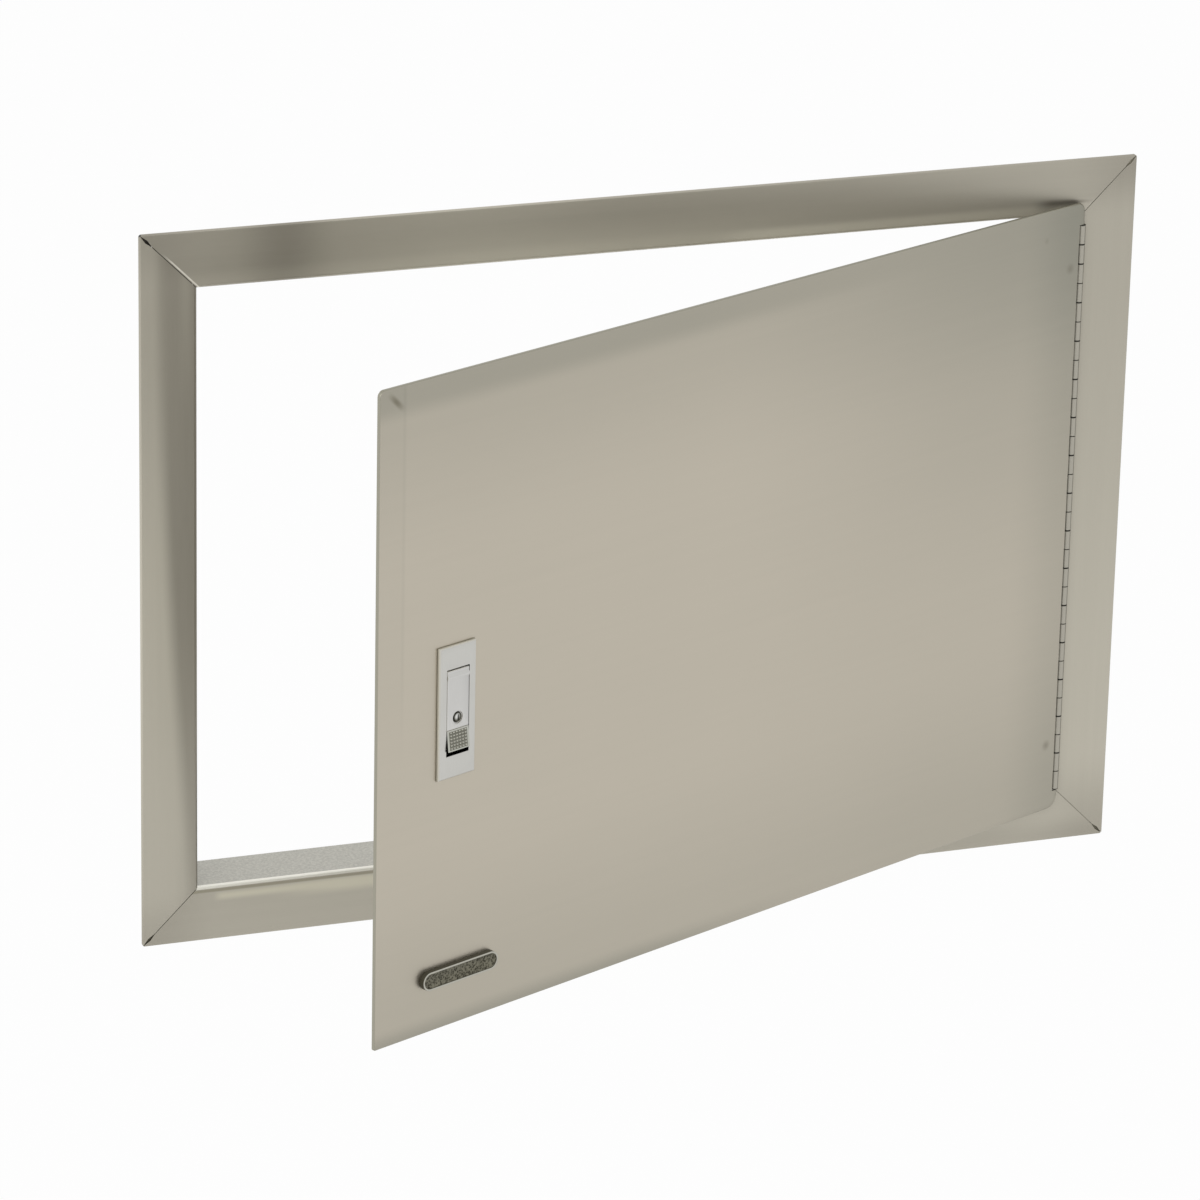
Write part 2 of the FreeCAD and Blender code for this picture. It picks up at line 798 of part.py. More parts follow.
def make_lever():
    lever = new_body("latch_lever")
    plate = new_sketch(lever, "YZ_Plane", 0)
    front = -size.bezel_proud
    back = front + size.lever_plate
    top = window_z - size.lever_top_gap
    draw_box(plate, front, back, -size.lever_low, top)
    shape = grow(lever, plate, lever_x * 2, both_ways=True).Shape
    top_edge = edges_where(shape, lambda edge: lies_at(edge, y=front, z=top))
    dress(lever, "Fillet", top_edge, size.lever_top_round)
    hub = new_sketch(lever, "YZ_Plane", 0)
    draw_circle(hub, 0, size.pivot_height, size.hub_radius)
    grow(lever, hub, lever_x * 2, both_ways=True)
    arm = new_sketch(lever, "YZ_Plane", 0)
    half_arm = size.arm_thickness / 2
    low = size.pivot_height - half_arm
    high = size.pivot_height + half_arm
    draw_box(arm, back - 1, bolt_back + size.arm_spare, low, high)
    grow(lever, arm, size.arm_width, both_ways=True)
    boss, depth = slab(lever, back - 1, size.boss_depth)
    draw_circle(boss, 0, -size.key_drop, size.boss_diameter / 2)
    grow(lever, boss, depth)
    bore, through = hollow(lever, front - 1, size.boss_depth + 1)
    draw_circle(bore, 0, -size.key_drop, plug_hole)
    cut(lever, bore, through)
    ring, ring_depth = hollow(lever, front - 1, front + size.lock_ring_depth)
    draw_circle(ring, 0, -size.key_drop, size.plug_diameter / 2 + size.lock_ring)
    cut(lever, ring, ring_depth)
    pivot = new_sketch(lever, "YZ_Plane", lever_x + 1)
    draw_circle(pivot, 0, size.pivot_height, pivot_hole)
    cut(lever, pivot, lever_x * 2 + 2)
    place_in_latch(lever)


def make_lock():
    plug = new_body("lock_plug")
    front = -size.bezel_proud - size.plug_proud
    z = -size.key_drop
    head, depth = slab(plug, front, size.boss_depth)
    draw_circle(head, 0, z, size.plug_diameter / 2)
    shape = grow(plug, head, depth).Shape
    rim = edges_where(shape, lambda edge: abs(edge.valueAt(0).y - front.number) < 0.01)
    dress(plug, "Chamfer", rim, size.plug_bevel)
    tail, tail_depth = slab(plug, size.boss_depth, cam_back + size.clip_gauge + size.cam_gap)
    draw_circle(tail, 0, z, size.plug_tail / 2)
    grow(plug, tail, tail_depth)
    keyway, deep = hollow(plug, front, front + size.keyway_depth)
    half_key = size.keyway_width / 2
    draw_box(keyway, -half_key, half_key, z - size.keyway_height / 2, z + size.keyway_height / 2)
    cut(plug, keyway, deep)
    place_in_latch(plug)

    cam = new_body("lock_cam")
    arm, gauge = slab(cam, cam_front, cam_back)
    half_cam = size.cam_width / 2
    reach = z + size.cam_reach
    draw_box(arm, -half_cam, half_cam, z - half_cam - 1, reach)
    shape = grow(cam, arm, gauge).Shape
    tips = edges_where(shape, lambda edge: lies_at(edge, x=half_cam) or lies_at(edge, x=-half_cam))
    tips = [name for name in tips if shape.getElement(name).Length < size.cam_gauge.number + 0.01]
    dress(cam, "Fillet", tips, size.cam_width * 0.3)
    hole, through = hollow(cam, cam_front - 1, cam_back + 1)
    draw_circle(hole, 0, z, size.plug_tail / 2)
    cut(cam, hole, through)
    place_in_latch(cam)

    clip = new_body("cam_clip")
    ring, thin = slab(clip, cam_back, cam_back + size.clip_gauge)
    draw_circle(ring, 0, z, size.clip_diameter / 2)
    draw_circle(ring, 0, z, size.plug_tail / 2)
    grow(clip, ring, thin)
    mouth, through = hollow(clip, cam_back - 1, cam_back + size.clip_gauge + 1)
    half_mouth = size.plug_tail * 0.35
    draw_box(mouth, -half_mouth, half_mouth, z - size.clip_diameter, z)
    cut(clip, mouth, through)
    place_in_latch(clip)


def make_push_pad():
    # A rocker that stands proud at its foot, with ribs across its face
    pad = new_body("push_pad")
    front = -size.bezel_proud
    foot = front - size.pad_rise
    section = new_sketch(pad, "YZ_Plane", 0)
    draw_outline(section, [
        (front, pad_top),
        (foot, pad_low),
        (foot + size.pad_plate + size.pad_rise, pad_low),
        (front + size.pad_plate, pad_top),
    ])
    grow(pad, section, lever_x * 2, both_ways=True)
    hub = new_sketch(pad, "YZ_Plane", 0)
    draw_circle(hub, size.pad_pivot_depth, pad_pivot_z, pivot_hole + size.pivot_diameter / 2)
    grow(pad, hub, lever_x * 2, both_ways=True)
    neck = new_sketch(pad, "YZ_Plane", 0)
    half_neck = size.pivot_diameter / 2
    draw_box(neck, front + 1, size.pad_pivot_depth, pad_pivot_z - half_neck, pad_pivot_z + half_neck)
    grow(pad, neck, lever_x * 2, both_ways=True)
    pivot = new_sketch(pad, "YZ_Plane", lever_x + 1)
    draw_circle(pivot, size.pad_pivot_depth, pad_pivot_z, pivot_hole)
    cut(pad, pivot, lever_x * 2 + 2)
    slope = size.pad_rise / (pad_top - pad_low)
    for index in range(int(size.rib_count.number)):
        z = pad_low + size.rib_margin + size.rib_pitch * index
        face = foot + slope * (z - pad_low)
        rib = new_sketch(pad, "YZ_Plane", 0)
        half_rib = size.rib_pitch / 4
        draw_outline(rib, [
            (face - size.rib_height, z - half_rib / 2),
            (face + size.rib_height, z - half_rib),
            (face + size.rib_height, z + half_rib),
            (face - size.rib_height, z + half_rib / 2),
        ])
        grow(pad, rib, (lever_x - size.rib_margin) * 2, both_ways=True)
    place_in_latch(pad)


def make_bolt():
    # A plate through both walls of the case. The lever's arm drives its slanted slot.
    bolt = new_body("slam_bolt")
    swing_cos = cosine(size.lever_swing)
    swing_tan = sine(size.lever_swing) / swing_cos
    half_arm = size.arm_thickness / 2
    gap = size.bolt_gap
    arm_x = size.arm_width / 2
    drop_back = bolt_back * swing_tan + half_arm / swing_cos
    drop_front = size.bolt_depth * swing_tan - half_arm / swing_cos
    slot_low = size.pivot_height - drop_back - gap
    slot_left = -arm_x - size.bolt_travel - gap
    slot_high = size.pivot_height - drop_front + gap
    arm_low = size.pivot_height - half_arm
    arm_top = size.pivot_height + half_arm
    plate_top = window_z - 1
    ramp = arm_x + gap - arm_low
    tail_left = slot_left - size.slot_gap * 2.5
    tail_right = ramp + plate_top + size.shank_height * 0.45
    plate, gauge = slab(bolt, size.bolt_depth, bolt_back)
    draw_outline(plate, [
        (bolt_tip + size.nose_length / 2, size.bolt_low),
        (tail_right, size.bolt_low),
        (tail_right, plate_top),
        (ramp + plate_top, plate_top),
        (ramp + slot_low, slot_low),
        (slot_left, slot_low),
        (slot_left, slot_high),
        (-arm_x - gap, arm_top + gap * 2),
        (-arm_x - gap, plate_top),
        (tail_left, plate_top),
        (tail_left, shank_top),
        (bolt_tip + size.nose_length / 2, shank_top),
    ])
    grow(bolt, plate, gauge)
    # The nose, bevelled on the side that meets the jamb as the door shuts
    nose = new_sketch(bolt, "XY_Plane", size.bolt_low)
    bevel = size.nose_depth - size.nose_flat
    draw_outline(nose, [
        (bolt_tip, nose_front),
        (bolt_tip + size.nose_length, nose_front),
        (bolt_tip + size.nose_length, nose_back),
        (bolt_tip + bevel, nose_back),
        (bolt_tip, nose_front + size.nose_flat),
    ])
    grow(bolt, nose, size.shank_height)
    lug, gauge = slab(bolt, size.bolt_depth, bolt_back)
    lug_left = size.side_gap + 0.2 - window_x
    draw_box(lug, lug_left, lug_left + 2, size.bolt_low - size.bolt_spring_diameter - 1.4, size.bolt_low)
    grow(bolt, lug, gauge)
    place_in_latch(bolt)


def make_bolt_guide():
    # A saddle on the door's back that the bolt's shank slides through
    guide = new_body("bolt_guide")
    right = -(case_x + size.guide_offset)
    back = size.gauge
    inner = bolt_back + size.bolt_gap
    outer = inner + size.guide_gauge
    low = size.bolt_low - size.bolt_gap
    high = shank_top + size.bolt_gap
    section = new_sketch(guide, "YZ_Plane", right - size.guide_length)
    draw_outline(section, [
        (back, low - size.guide_foot),
        (back + size.guide_gauge, low - size.guide_foot),
        (back + size.guide_gauge, low - size.guide_gauge),
        (outer, low - size.guide_gauge),
        (outer, high + size.guide_gauge),
        (back + size.guide_gauge, high + size.guide_gauge),
        (back + size.guide_gauge, high + size.guide_foot),
        (back, high + size.guide_foot),
        (back, high),
        (inner, high),
        (inner, low),
        (back, low),
    ])
    shape = grow(guide, section, size.guide_length).Shape
    bends = edges_where(shape, lambda edge: any(
        lies_at(edge, y=outer, z=z) for z in (low - size.guide_gauge, high + size.guide_gauge)
    ))
    dress(guide, "Fillet", bends, size.guide_gauge * 0.9)
    place_in_latch(guide)


def make_bolt_spring():
    # A coil between the bolt's lug and the case's wall. Its wire has flats, which keeps it light.
    lug_right = size.side_gap + 2.2 - window_x
    seat = size.spring_seat
    length = (window_x - seat - lug_right - seat).number
    wire = size.wire_diameter.number / 2
    radius = size.bolt_spring_diameter.number / 2 - wire
    rise = length - 2 * wire
    corners = []
    for index in range(int(size.wire_sides.number) + 1):
        angle = 2 * math.pi * index / size.wire_sides.number
        corners.append(Vector(radius + wire * math.cos(angle), 0, wire * math.sin(angle)))
    helix = Part.Wire(Part.makeHelix(rise / size.bolt_spring_turns.number, rise, radius).Edges)
    coil = helix.makePipeShell([Part.makePolygon(corners)], True, True)
    coil_z = size.bolt_low - 1 - size.bolt_spring_diameter / 2
    start = Vector((lug_right + seat).number + wire, bolt_middle.number, coil_z.number)
    along = Placement(start, Rotation(Vector(0, 0, 1), Vector(1, 0, 0)))
    spring = doc.addObject("Part::Feature", "bolt_spring")
    spring.Label = "bolt_spring"
    spring.Shape = coil.transformed(along.toMatrix(), True)
    place_in_latch(spring)


def make_pad_spring():
    # A bent strip, flat on the cover and reaching forward to the back of the pad
    spring = new_body("pad_spring")
    gauge = size.leaf_spring_gauge
    cover = size.case_depth - size.cover_gauge
    tip = size.pad_plate - size.bezel_proud + size.spring_seat
    top = -size.leaf_spring_top
    touch = pad_low + size.leaf_spring_rise
    section = new_sketch(spring, "YZ_Plane", 0)
    draw_outline(section, [
        (cover, pad_low),
        (cover, top),
        (tip, touch),
        (tip, touch - size.leaf_spring_tip),
        (tip + gauge, touch - size.leaf_spring_tip),
        (tip + gauge, touch - gauge * 0.75),
        (cover - gauge, top - gauge * 1.75),
        (cover - gauge, pad_low),
    ])
    grow(spring, section, size.leaf_spring_width, both_ways=True)
    place_in_latch(spring)


def make_bracket(label, side):
    # An L that pulls the bezel down on the skin from behind
    bracket = new_body(label)
    near = case_z
    far = near + size.bracket_leg
    back = size.gauge
    section = new_sketch(bracket, "YZ_Plane", 0)
    draw_outline(section, [
        (back, side * near),
        (size.bracket_height, side * near),
        (size.bracket_height, side * (near + size.bracket_gauge)),
        (back + size.bracket_gauge, side * (near + size.bracket_gauge)),
        (back + size.bracket_gauge, side * far),
        (back, side * far),
    ])
    grow(bracket, section, size.bracket_width, both_ways=True)
    start = near + size.bracket_gauge if side > 0 else -near
    drill = new_sketch(bracket, "XY_Plane", start)
    draw_circle(drill, 0, size.screw_depth, size.screw_diameter / 2 + size.pin_clearance)
    cut(bracket, drill, size.bracket_gauge)
    place_in_latch(bracket)


def make_screws():
    # One cap screw through each bracket into the case's end wall
    screws = []
    for side in (-1, 1):
        shank = doc.addObject("Part::Cylinder", "screw_shank")
        shank.setExpression("Radius", (size.screw_diameter / 2).text)
        shank.setExpression("Height", (size.screw_grip + size.bracket_gauge).text)
        head = doc.addObject("Part::Cylinder", "screw_head")
        head.setExpression("Radius", (size.screw_head / 2).text)
        head.setExpression("Height", size.screw_head_height.text)
        place(head, 0, 0, size.screw_grip + size.bracket_gauge)
        socket = doc.addObject("Part::Prism", "screw_socket")
        socket.Polygon = 6
        socket.setExpression("Circumradius", (size.socket_across / math.sqrt(3)).text)
        socket.setExpression("Height", size.screw_head_height.text)
        place(socket, 0, 0, size.screw_grip + size.bracket_gauge + size.screw_head_height / 2)
        whole = doc.addObject("Part::Fuse", "screw_whole")
        whole.Base = shank
        whole.Tool = head
        screw = doc.addObject("Part::Cut", "screw")
        screw.Base = whole
        screw.Tool = socket
        start = case_z - size.screw_grip
        turn = 0 if side > 0 else 180
        place(screw, 0, size.screw_depth, side * start, Vector(1, 0, 0), turn)
        screws.append(screw)
    group = doc.addObject("Part::Compound", "latch_screws")
    group.Label = "latch_screws"
    group.Links = screws
    place_in_latch(group)


def build():
    make_frame()
    make_gussets()
    make_hinge()
    make_door_skin()
    make_bumpers()
    make_badge()
    make_latch_case()
    make_latch_cover()
    make_pivot_pin("lever_pin", 0, size.pivot_height)
    make_lever()
    make_lock()
    make_pivot_pin("pad_pin", size.pad_pivot_depth, pad_pivot_z)
    make_push_pad()
    make_bolt()
    make_bolt_guide()
    make_bolt_spring()
    make_pad_spring()
    make_bracket("latch_bracket_upper", 1)
    make_bracket("latch_bracket_lower", -1)
    make_screws()
    doc.recompute()


def export():
    for item in doc.Objects:
        if "Invalid" in item.State or "Error" in item.State:
            raise RuntimeError(f"{item.Label} did not compute: {item.State}")
    groups = [item for item in doc.Objects if item.TypeId == "Part::Compound"]
    bodies = [item for item in doc.Objects if item.TypeId == "PartDesign::Body"]
    plain = [item for item in doc.Objects if item.TypeId == "Part::Feature"]
    pieces = bodies + groups + plain
    for piece in pieces:
        if piece.Shape.isNull() or not piece.Shape.isValid() or not piece.Shape.Solids:
            raise RuntimeError(f"{piece.Label} has no valid shape")
    os.makedirs("parts", exist_ok=True)
    for piece in pieces:
        piece.Shape.exportStep(f"parts/{piece.Label}.step")
        print(piece.Label, len(piece.Shape.Solids), round(piece.Shape.Volume, 1))


build()
export()
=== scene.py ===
import json
import math

import bpy
from mathutils import Matrix, Vector


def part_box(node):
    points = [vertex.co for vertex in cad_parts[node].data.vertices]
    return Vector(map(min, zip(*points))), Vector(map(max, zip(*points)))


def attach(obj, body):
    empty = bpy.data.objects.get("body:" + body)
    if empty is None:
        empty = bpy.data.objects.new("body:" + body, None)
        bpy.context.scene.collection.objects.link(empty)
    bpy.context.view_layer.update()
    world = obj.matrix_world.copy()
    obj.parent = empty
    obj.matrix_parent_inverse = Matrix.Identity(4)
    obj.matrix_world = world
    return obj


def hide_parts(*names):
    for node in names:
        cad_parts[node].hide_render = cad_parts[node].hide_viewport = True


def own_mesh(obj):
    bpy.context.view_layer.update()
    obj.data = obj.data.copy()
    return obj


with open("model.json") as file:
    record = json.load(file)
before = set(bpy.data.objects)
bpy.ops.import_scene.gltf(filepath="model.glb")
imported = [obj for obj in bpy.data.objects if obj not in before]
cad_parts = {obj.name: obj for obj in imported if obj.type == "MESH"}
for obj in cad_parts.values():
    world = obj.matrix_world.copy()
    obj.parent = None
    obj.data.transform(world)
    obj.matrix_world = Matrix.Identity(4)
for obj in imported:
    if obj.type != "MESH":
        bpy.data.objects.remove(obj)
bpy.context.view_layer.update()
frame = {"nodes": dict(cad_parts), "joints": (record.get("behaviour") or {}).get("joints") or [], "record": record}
nodes = frame["nodes"]
record = frame["record"]
joints = {joint["name"]: joint for joint in frame["joints"]}
bodyOf = {node: body for body, names in record["behaviour"]["bodies"].items() for node in names}
slotOf = {part["node"]: part["material_slot"] for part in record["subparts"]}
print("stage 1: the frame is in")


# The photograph's own view, found from the frame's and the door's edges
viewpoint = {
    "azimuth": -19.95,
    "elevation": 20.31,
    "roll": 1.286,
    "distance": 3.8979,
    "target": (-0.02564, -0.0024, -0.03477),
    "lens": 187.589,
    "sensor": 36,
    "shift": (-0.0025, 0.004),
    "clipEnd": 50,
}


def addCamera():
    azimuth = math.radians(viewpoint["azimuth"])
    elevation = math.radians(viewpoint["elevation"])
    level = math.cos(elevation)
    back = Vector((math.sin(azimuth) * level, -math.cos(azimuth) * level, math.sin(elevation)))
    right = Vector((0, 0, 1)).cross(back).normalized()
    up = back.cross(right)
    turn = math.radians(viewpoint["roll"])
    rolledRight = right * math.cos(turn) + up * math.sin(turn)
    rolledUp = up * math.cos(turn) - right * math.sin(turn)
    place = Vector(viewpoint["target"]) + back * viewpoint["distance"]
    turned = Matrix((rolledRight, rolledUp, back)).transposed().to_4x4()
    data = bpy.data.cameras.new("photoCamera")
    data.lens = viewpoint["lens"]
    data.sensor_width = viewpoint["sensor"]
    data.shift_x, data.shift_y = viewpoint["shift"]
    data.clip_end = viewpoint["clipEnd"]
    camera = bpy.data.objects.new("photoCamera", data)
    camera.matrix_world = Matrix.Translation(place) @ turned
    bpy.context.collection.objects.link(camera)
    bpy.context.scene.camera = camera


addCamera()


# Places, worked out from the frame
layout = {
    "doorOpen": 23.9,  # degrees
    "latchDrop": 0.022,  # from the lever's pivot down to the latch's centre
    "railWidth": 0.036,
}
doorTurn = math.radians(layout["doorOpen"])
hinge = Vector(joints["door_swing"]["pos_m"])
latch = Vector(joints["lever_pull"]["pos_m"]) - Vector((0, 0, layout["latchDrop"]))
lock = Vector(joints["key_turn"]["pos_m"])
doorFront = Vector((math.sin(doorTurn), -math.cos(doorTurn), 0))
doorLeft = Vector((-math.cos(doorTurn), -math.sin(doorTurn), 0))
frameHigh = Vector(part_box("frame_top_rail")[1])
outerX, outerZ = frameHigh.x, frameHigh.z


def toDoor(point):
    # A point in the coordinates that turn with the door, from the hinge's axis
    away = Vector(point) - hinge
    return Vector((-away.dot(doorLeft), -away.dot(doorFront), away.z))


# Shader building: one wrapper for sockets, one method for nodes
class Wire:
    def __init__(self, finish, socket):
        self.finish = finish
        self.socket = socket

    def combine(self, operation, first, second=0.0, clamp=False):
        settings = {"operation": operation, "use_clamp": clamp}
        return self.finish.add("ShaderNodeMath", settings, {0: first, 1: second})

    def __add__(self, other):
        return self.combine("ADD", self, other)

    def __sub__(self, other):
        return self.combine("SUBTRACT", self, other)

    def __rsub__(self, other):
        return self.combine("SUBTRACT", other, self)

    def __mul__(self, other):
        return self.combine("MULTIPLY", self, other)

    def __truediv__(self, other):
        return self.combine("DIVIDE", self, other)

    def __abs__(self):
        return self.combine("ABSOLUTE", self)

    __radd__ = __add__
    __rmul__ = __mul__

    def larger(self, other):
        return self.combine("MAXIMUM", self, other)

    def power(self, exponent):
        # Kept from 0 to 1
        return self.combine("POWER", self, exponent, clamp=True)


class Finish:
    def __init__(self, name):
        self.material = bpy.data.materials.new(name)
        self.material.use_nodes = True
        self.tree = self.material.node_tree
        self.shader = self.tree.nodes["Principled BSDF"]
        self.place = self.add("ShaderNodeTexCoord", {}, {}, "Object")
        self.normal = self.add("ShaderNodeTexCoord", {}, {}, "Normal")

    def add(self, kind, settings, sockets, result=0):
        node = self.tree.nodes.new(kind)
        for key, value in settings.items():
            setattr(node, key, value)
        for key, value in sockets.items():
            if isinstance(value, Wire):
                self.tree.links.new(value.socket, node.inputs[key])
            else:
                node.inputs[key].default_value = value
        return Wire(self, node.outputs[result])

    def axes(self, vector):
        split = self.add("ShaderNodeSeparateXYZ", {}, {0: vector})
        return [Wire(self, socket) for socket in split.socket.node.outputs]

    def local(self, origin, turn=0.0):
        # Coordinates as a sheet or a lock has them, from its own origin
        inputs = {"Vector": self.place, "Location": tuple(origin), "Rotation": (0, 0, turn)}
        return self.add("ShaderNodeMapping", {"vector_type": "TEXTURE"}, inputs)

    def stretch(self, vector, scale):
        return self.add("ShaderNodeMapping", {}, {"Vector": vector, "Scale": scale})

    def noise(self, vector, scale, detail=3.0, rough=0.5):
        inputs = {"Vector": vector, "Scale": scale, "Detail": detail, "Roughness": rough}
        return self.add("ShaderNodeTexNoise", {}, inputs)

    def facing(self, direction):
        # 1 where the surface faces the direction, 0 where it lies along it
        inputs = {0: self.normal, 1: tuple(direction)}
        return self.add("ShaderNodeVectorMath", {"operation": "DOT_PRODUCT"}, inputs, "Value")

    def away(self, vector, point, flatten=(1, 1, 1)):
        # The distance from a point, with an axis left out where flatten is 0
        kept = self.add("ShaderNodeVectorMath", {"operation": "MULTIPLY"}, {0: vector, 1: flatten})
        inputs = {0: kept, 1: point}
        return self.add("ShaderNodeVectorMath", {"operation": "DISTANCE"}, inputs, "Value")

    def smooth(self, value, start, end):
        settings = {"interpolation_type": "SMOOTHSTEP"}
        return self.add("ShaderNodeMapRange", settings, {0: value, 1: start, 2: end})

    def hump(self, value, centre, reach):
        # 1 at the centre and 0 from the reach on, both ways
        return self.smooth(abs(value - centre), reach, 0.0)

    def between(self, value, low, high, soft):
        return self.smooth(value, low - soft, low + soft) * self.smooth(value, high + soft, high - soft)

    def nearest(self, value, start, step):
        # The distance to the nearest of many evenly spaced marks, shifted by whole steps to stay above 0
        inputs = {0: value - start + step * 64, 1: step / 2}
        return self.add("ShaderNodeMath", {"operation": "PINGPONG"}, inputs)

    def product(self, values, factors):
        # One mask: a factor is a value's name, or a name, a shape and the shape's numbers
        shapes = {"smooth": self.smooth, "hump": self.hump, "between": self.between}
        mask = None
        for factor in factors:
            if isinstance(factor, str):
                part = values[factor]
            else:
                which, shape, *numbers = factor
                part = shapes[shape](values[which], *numbers)
            mask = part if mask is None else mask * part
        return mask

    def patches(self, light, values, rows):
        # Each row is a strength and the factors of the mask that it goes through
        for strength, *factors in rows:
            light = light + self.product(values, factors) * strength
        return light

    def mix(self, factor, first, second, clamp=True):
        colours = [value if isinstance(value, Wire) else (*value, 1) for value in (first, second)]
        settings = {"data_type": "RGBA", "clamp_factor": clamp}
        return self.add("ShaderNodeMix", settings, {0: factor, 6: colours[0], 7: colours[1]}, 2)

    def bump(self, height, strength, distance):
        inputs = {"Height": height, "Strength": strength, "Distance": distance}
        return self.add("ShaderNodeBump", {}, inputs)

    def use(self, **inputs):
        names = {"colour": "Base Color", "rough": "Roughness", "metal": "Metallic", "normal": "Normal"}
        for key, value in inputs.items():
            socket = self.shader.inputs[names[key]]
            if isinstance(value, Wire):
                self.tree.links.new(value.socket, socket)
            else:
                socket.default_value = value
        return self.material


def shown(red, green, blue):
    # A colour as it shows on screen, made linear
    return tuple(
        part / 12.92 if part <= 0.04045 else ((part + 0.055) / 1.055) ** 2.4
        for part in (red / 255, green / 255, blue / 255)
    )


def toned(colour, times):
    return tuple(part * times for part in colour)


# Brushed sheet: a light value from 0 to 1, painted light and shade on the rails and the door, runs from the deep
# tone to the pale one
sheet = {
    "deep": shown(127, 122, 111),
    "pale": shown(203, 198, 183),
    "fineAcross": 1 / 0.0006,
    "fineAlong": 1 / 0.02,
    "fineNoise": (1.0, 2.0, 0.6),  # scale, detail and roughness
    "streakAcross": 1 / 0.004,
    "streakAlong": 1 / 0.2,
    "cloud": 9.0,
    "fineSwing": 0.06,
    "streakSwing": 0.06,
    "cloudSwing": 0.05,
    "rough": 0.38,
    "roughSwing": 0.08,
    "bump": 0.10,
    "bumpDepth": 0.00003,
}


def grainScale(direction, along, across):
    return tuple(along if axis == direction else across for axis in "XYZ")


def brushedSheet(name, direction, lighten, deep=None, pale=None, origin=(0, 0, 0), turn=0.0, metal=1.0):
    # lighten gives the painted light value, and the marks that go over the brushed tone
    finish = Finish(name)
    local = finish.local(origin, turn)
    fineScale = grainScale(direction, sheet["fineAlong"], sheet["fineAcross"])
    streakScale = grainScale(direction, sheet["streakAlong"], sheet["streakAcross"])
    fine = finish.noise(finish.stretch(local, fineScale), *sheet["fineNoise"])
    streak = finish.noise(finish.stretch(local, streakScale), 1.0)
    cloud = finish.noise(local, sheet["cloud"])
    light, marks = lighten(finish, local)
    light = light + (fine - 0.5) * sheet["fineSwing"] + (streak - 0.5) * sheet["streakSwing"]
    light = light + (cloud - 0.5) * sheet["cloudSwing"]
    colour = finish.mix(light, deep or sheet["deep"], pale or sheet["pale"], clamp=False)
    for mask, tone in marks:
        colour = finish.mix(mask, colour, tone)
    return finish.use(
        colour=colour,
        metal=metal,
        rough=fine * sheet["roughSwing"] + (sheet["rough"] - sheet["roughSwing"] / 2),
        normal=finish.bump(fine, sheet["bump"], sheet["bumpDepth"]),
    )


# The mitres: painted shade in the grooves, a thin dark line at the upper left and softer ones at the other
# corners, and a painted glint
mitre = {
    "black": shown(34, 31, 24),
    "soft": shown(156, 152, 138),
    "lens": shown(98, 94, 80),
    "lensReach": (0.009, 0.005),  # from the outer edge
    "glint": shown(246, 242, 230),
    "floor": (-0.0013, -0.0011, 0.00004),  # how deep the groove's floor lies
    "faced": (-0.3, -0.6),
    "wall": (0.30, 0.40),
    "middle": 0.002,
}


def mitreShade(finish, x, z, inward):
    upper = finish.smooth(z, -mitre["middle"], mitre["middle"])
    left = finish.smooth(x, mitre["middle"], -mitre["middle"])
    near = finish.smooth(inward, *mitre["lensReach"])
    tone = finish.mix(near * (1.0 - upper * (1.0 - left)), mitre["soft"], mitre["lens"])
    return finish.mix(upper * left, tone, mitre["black"])


def grooveFloor(finish, y):
    # The layer that shows at the bottom of a mitre's groove, from the front only
    faced = finish.smooth(finish.axes(finish.normal)[1], *mitre["faced"])
    return finish.between(y, *mitre["floor"]) * faced
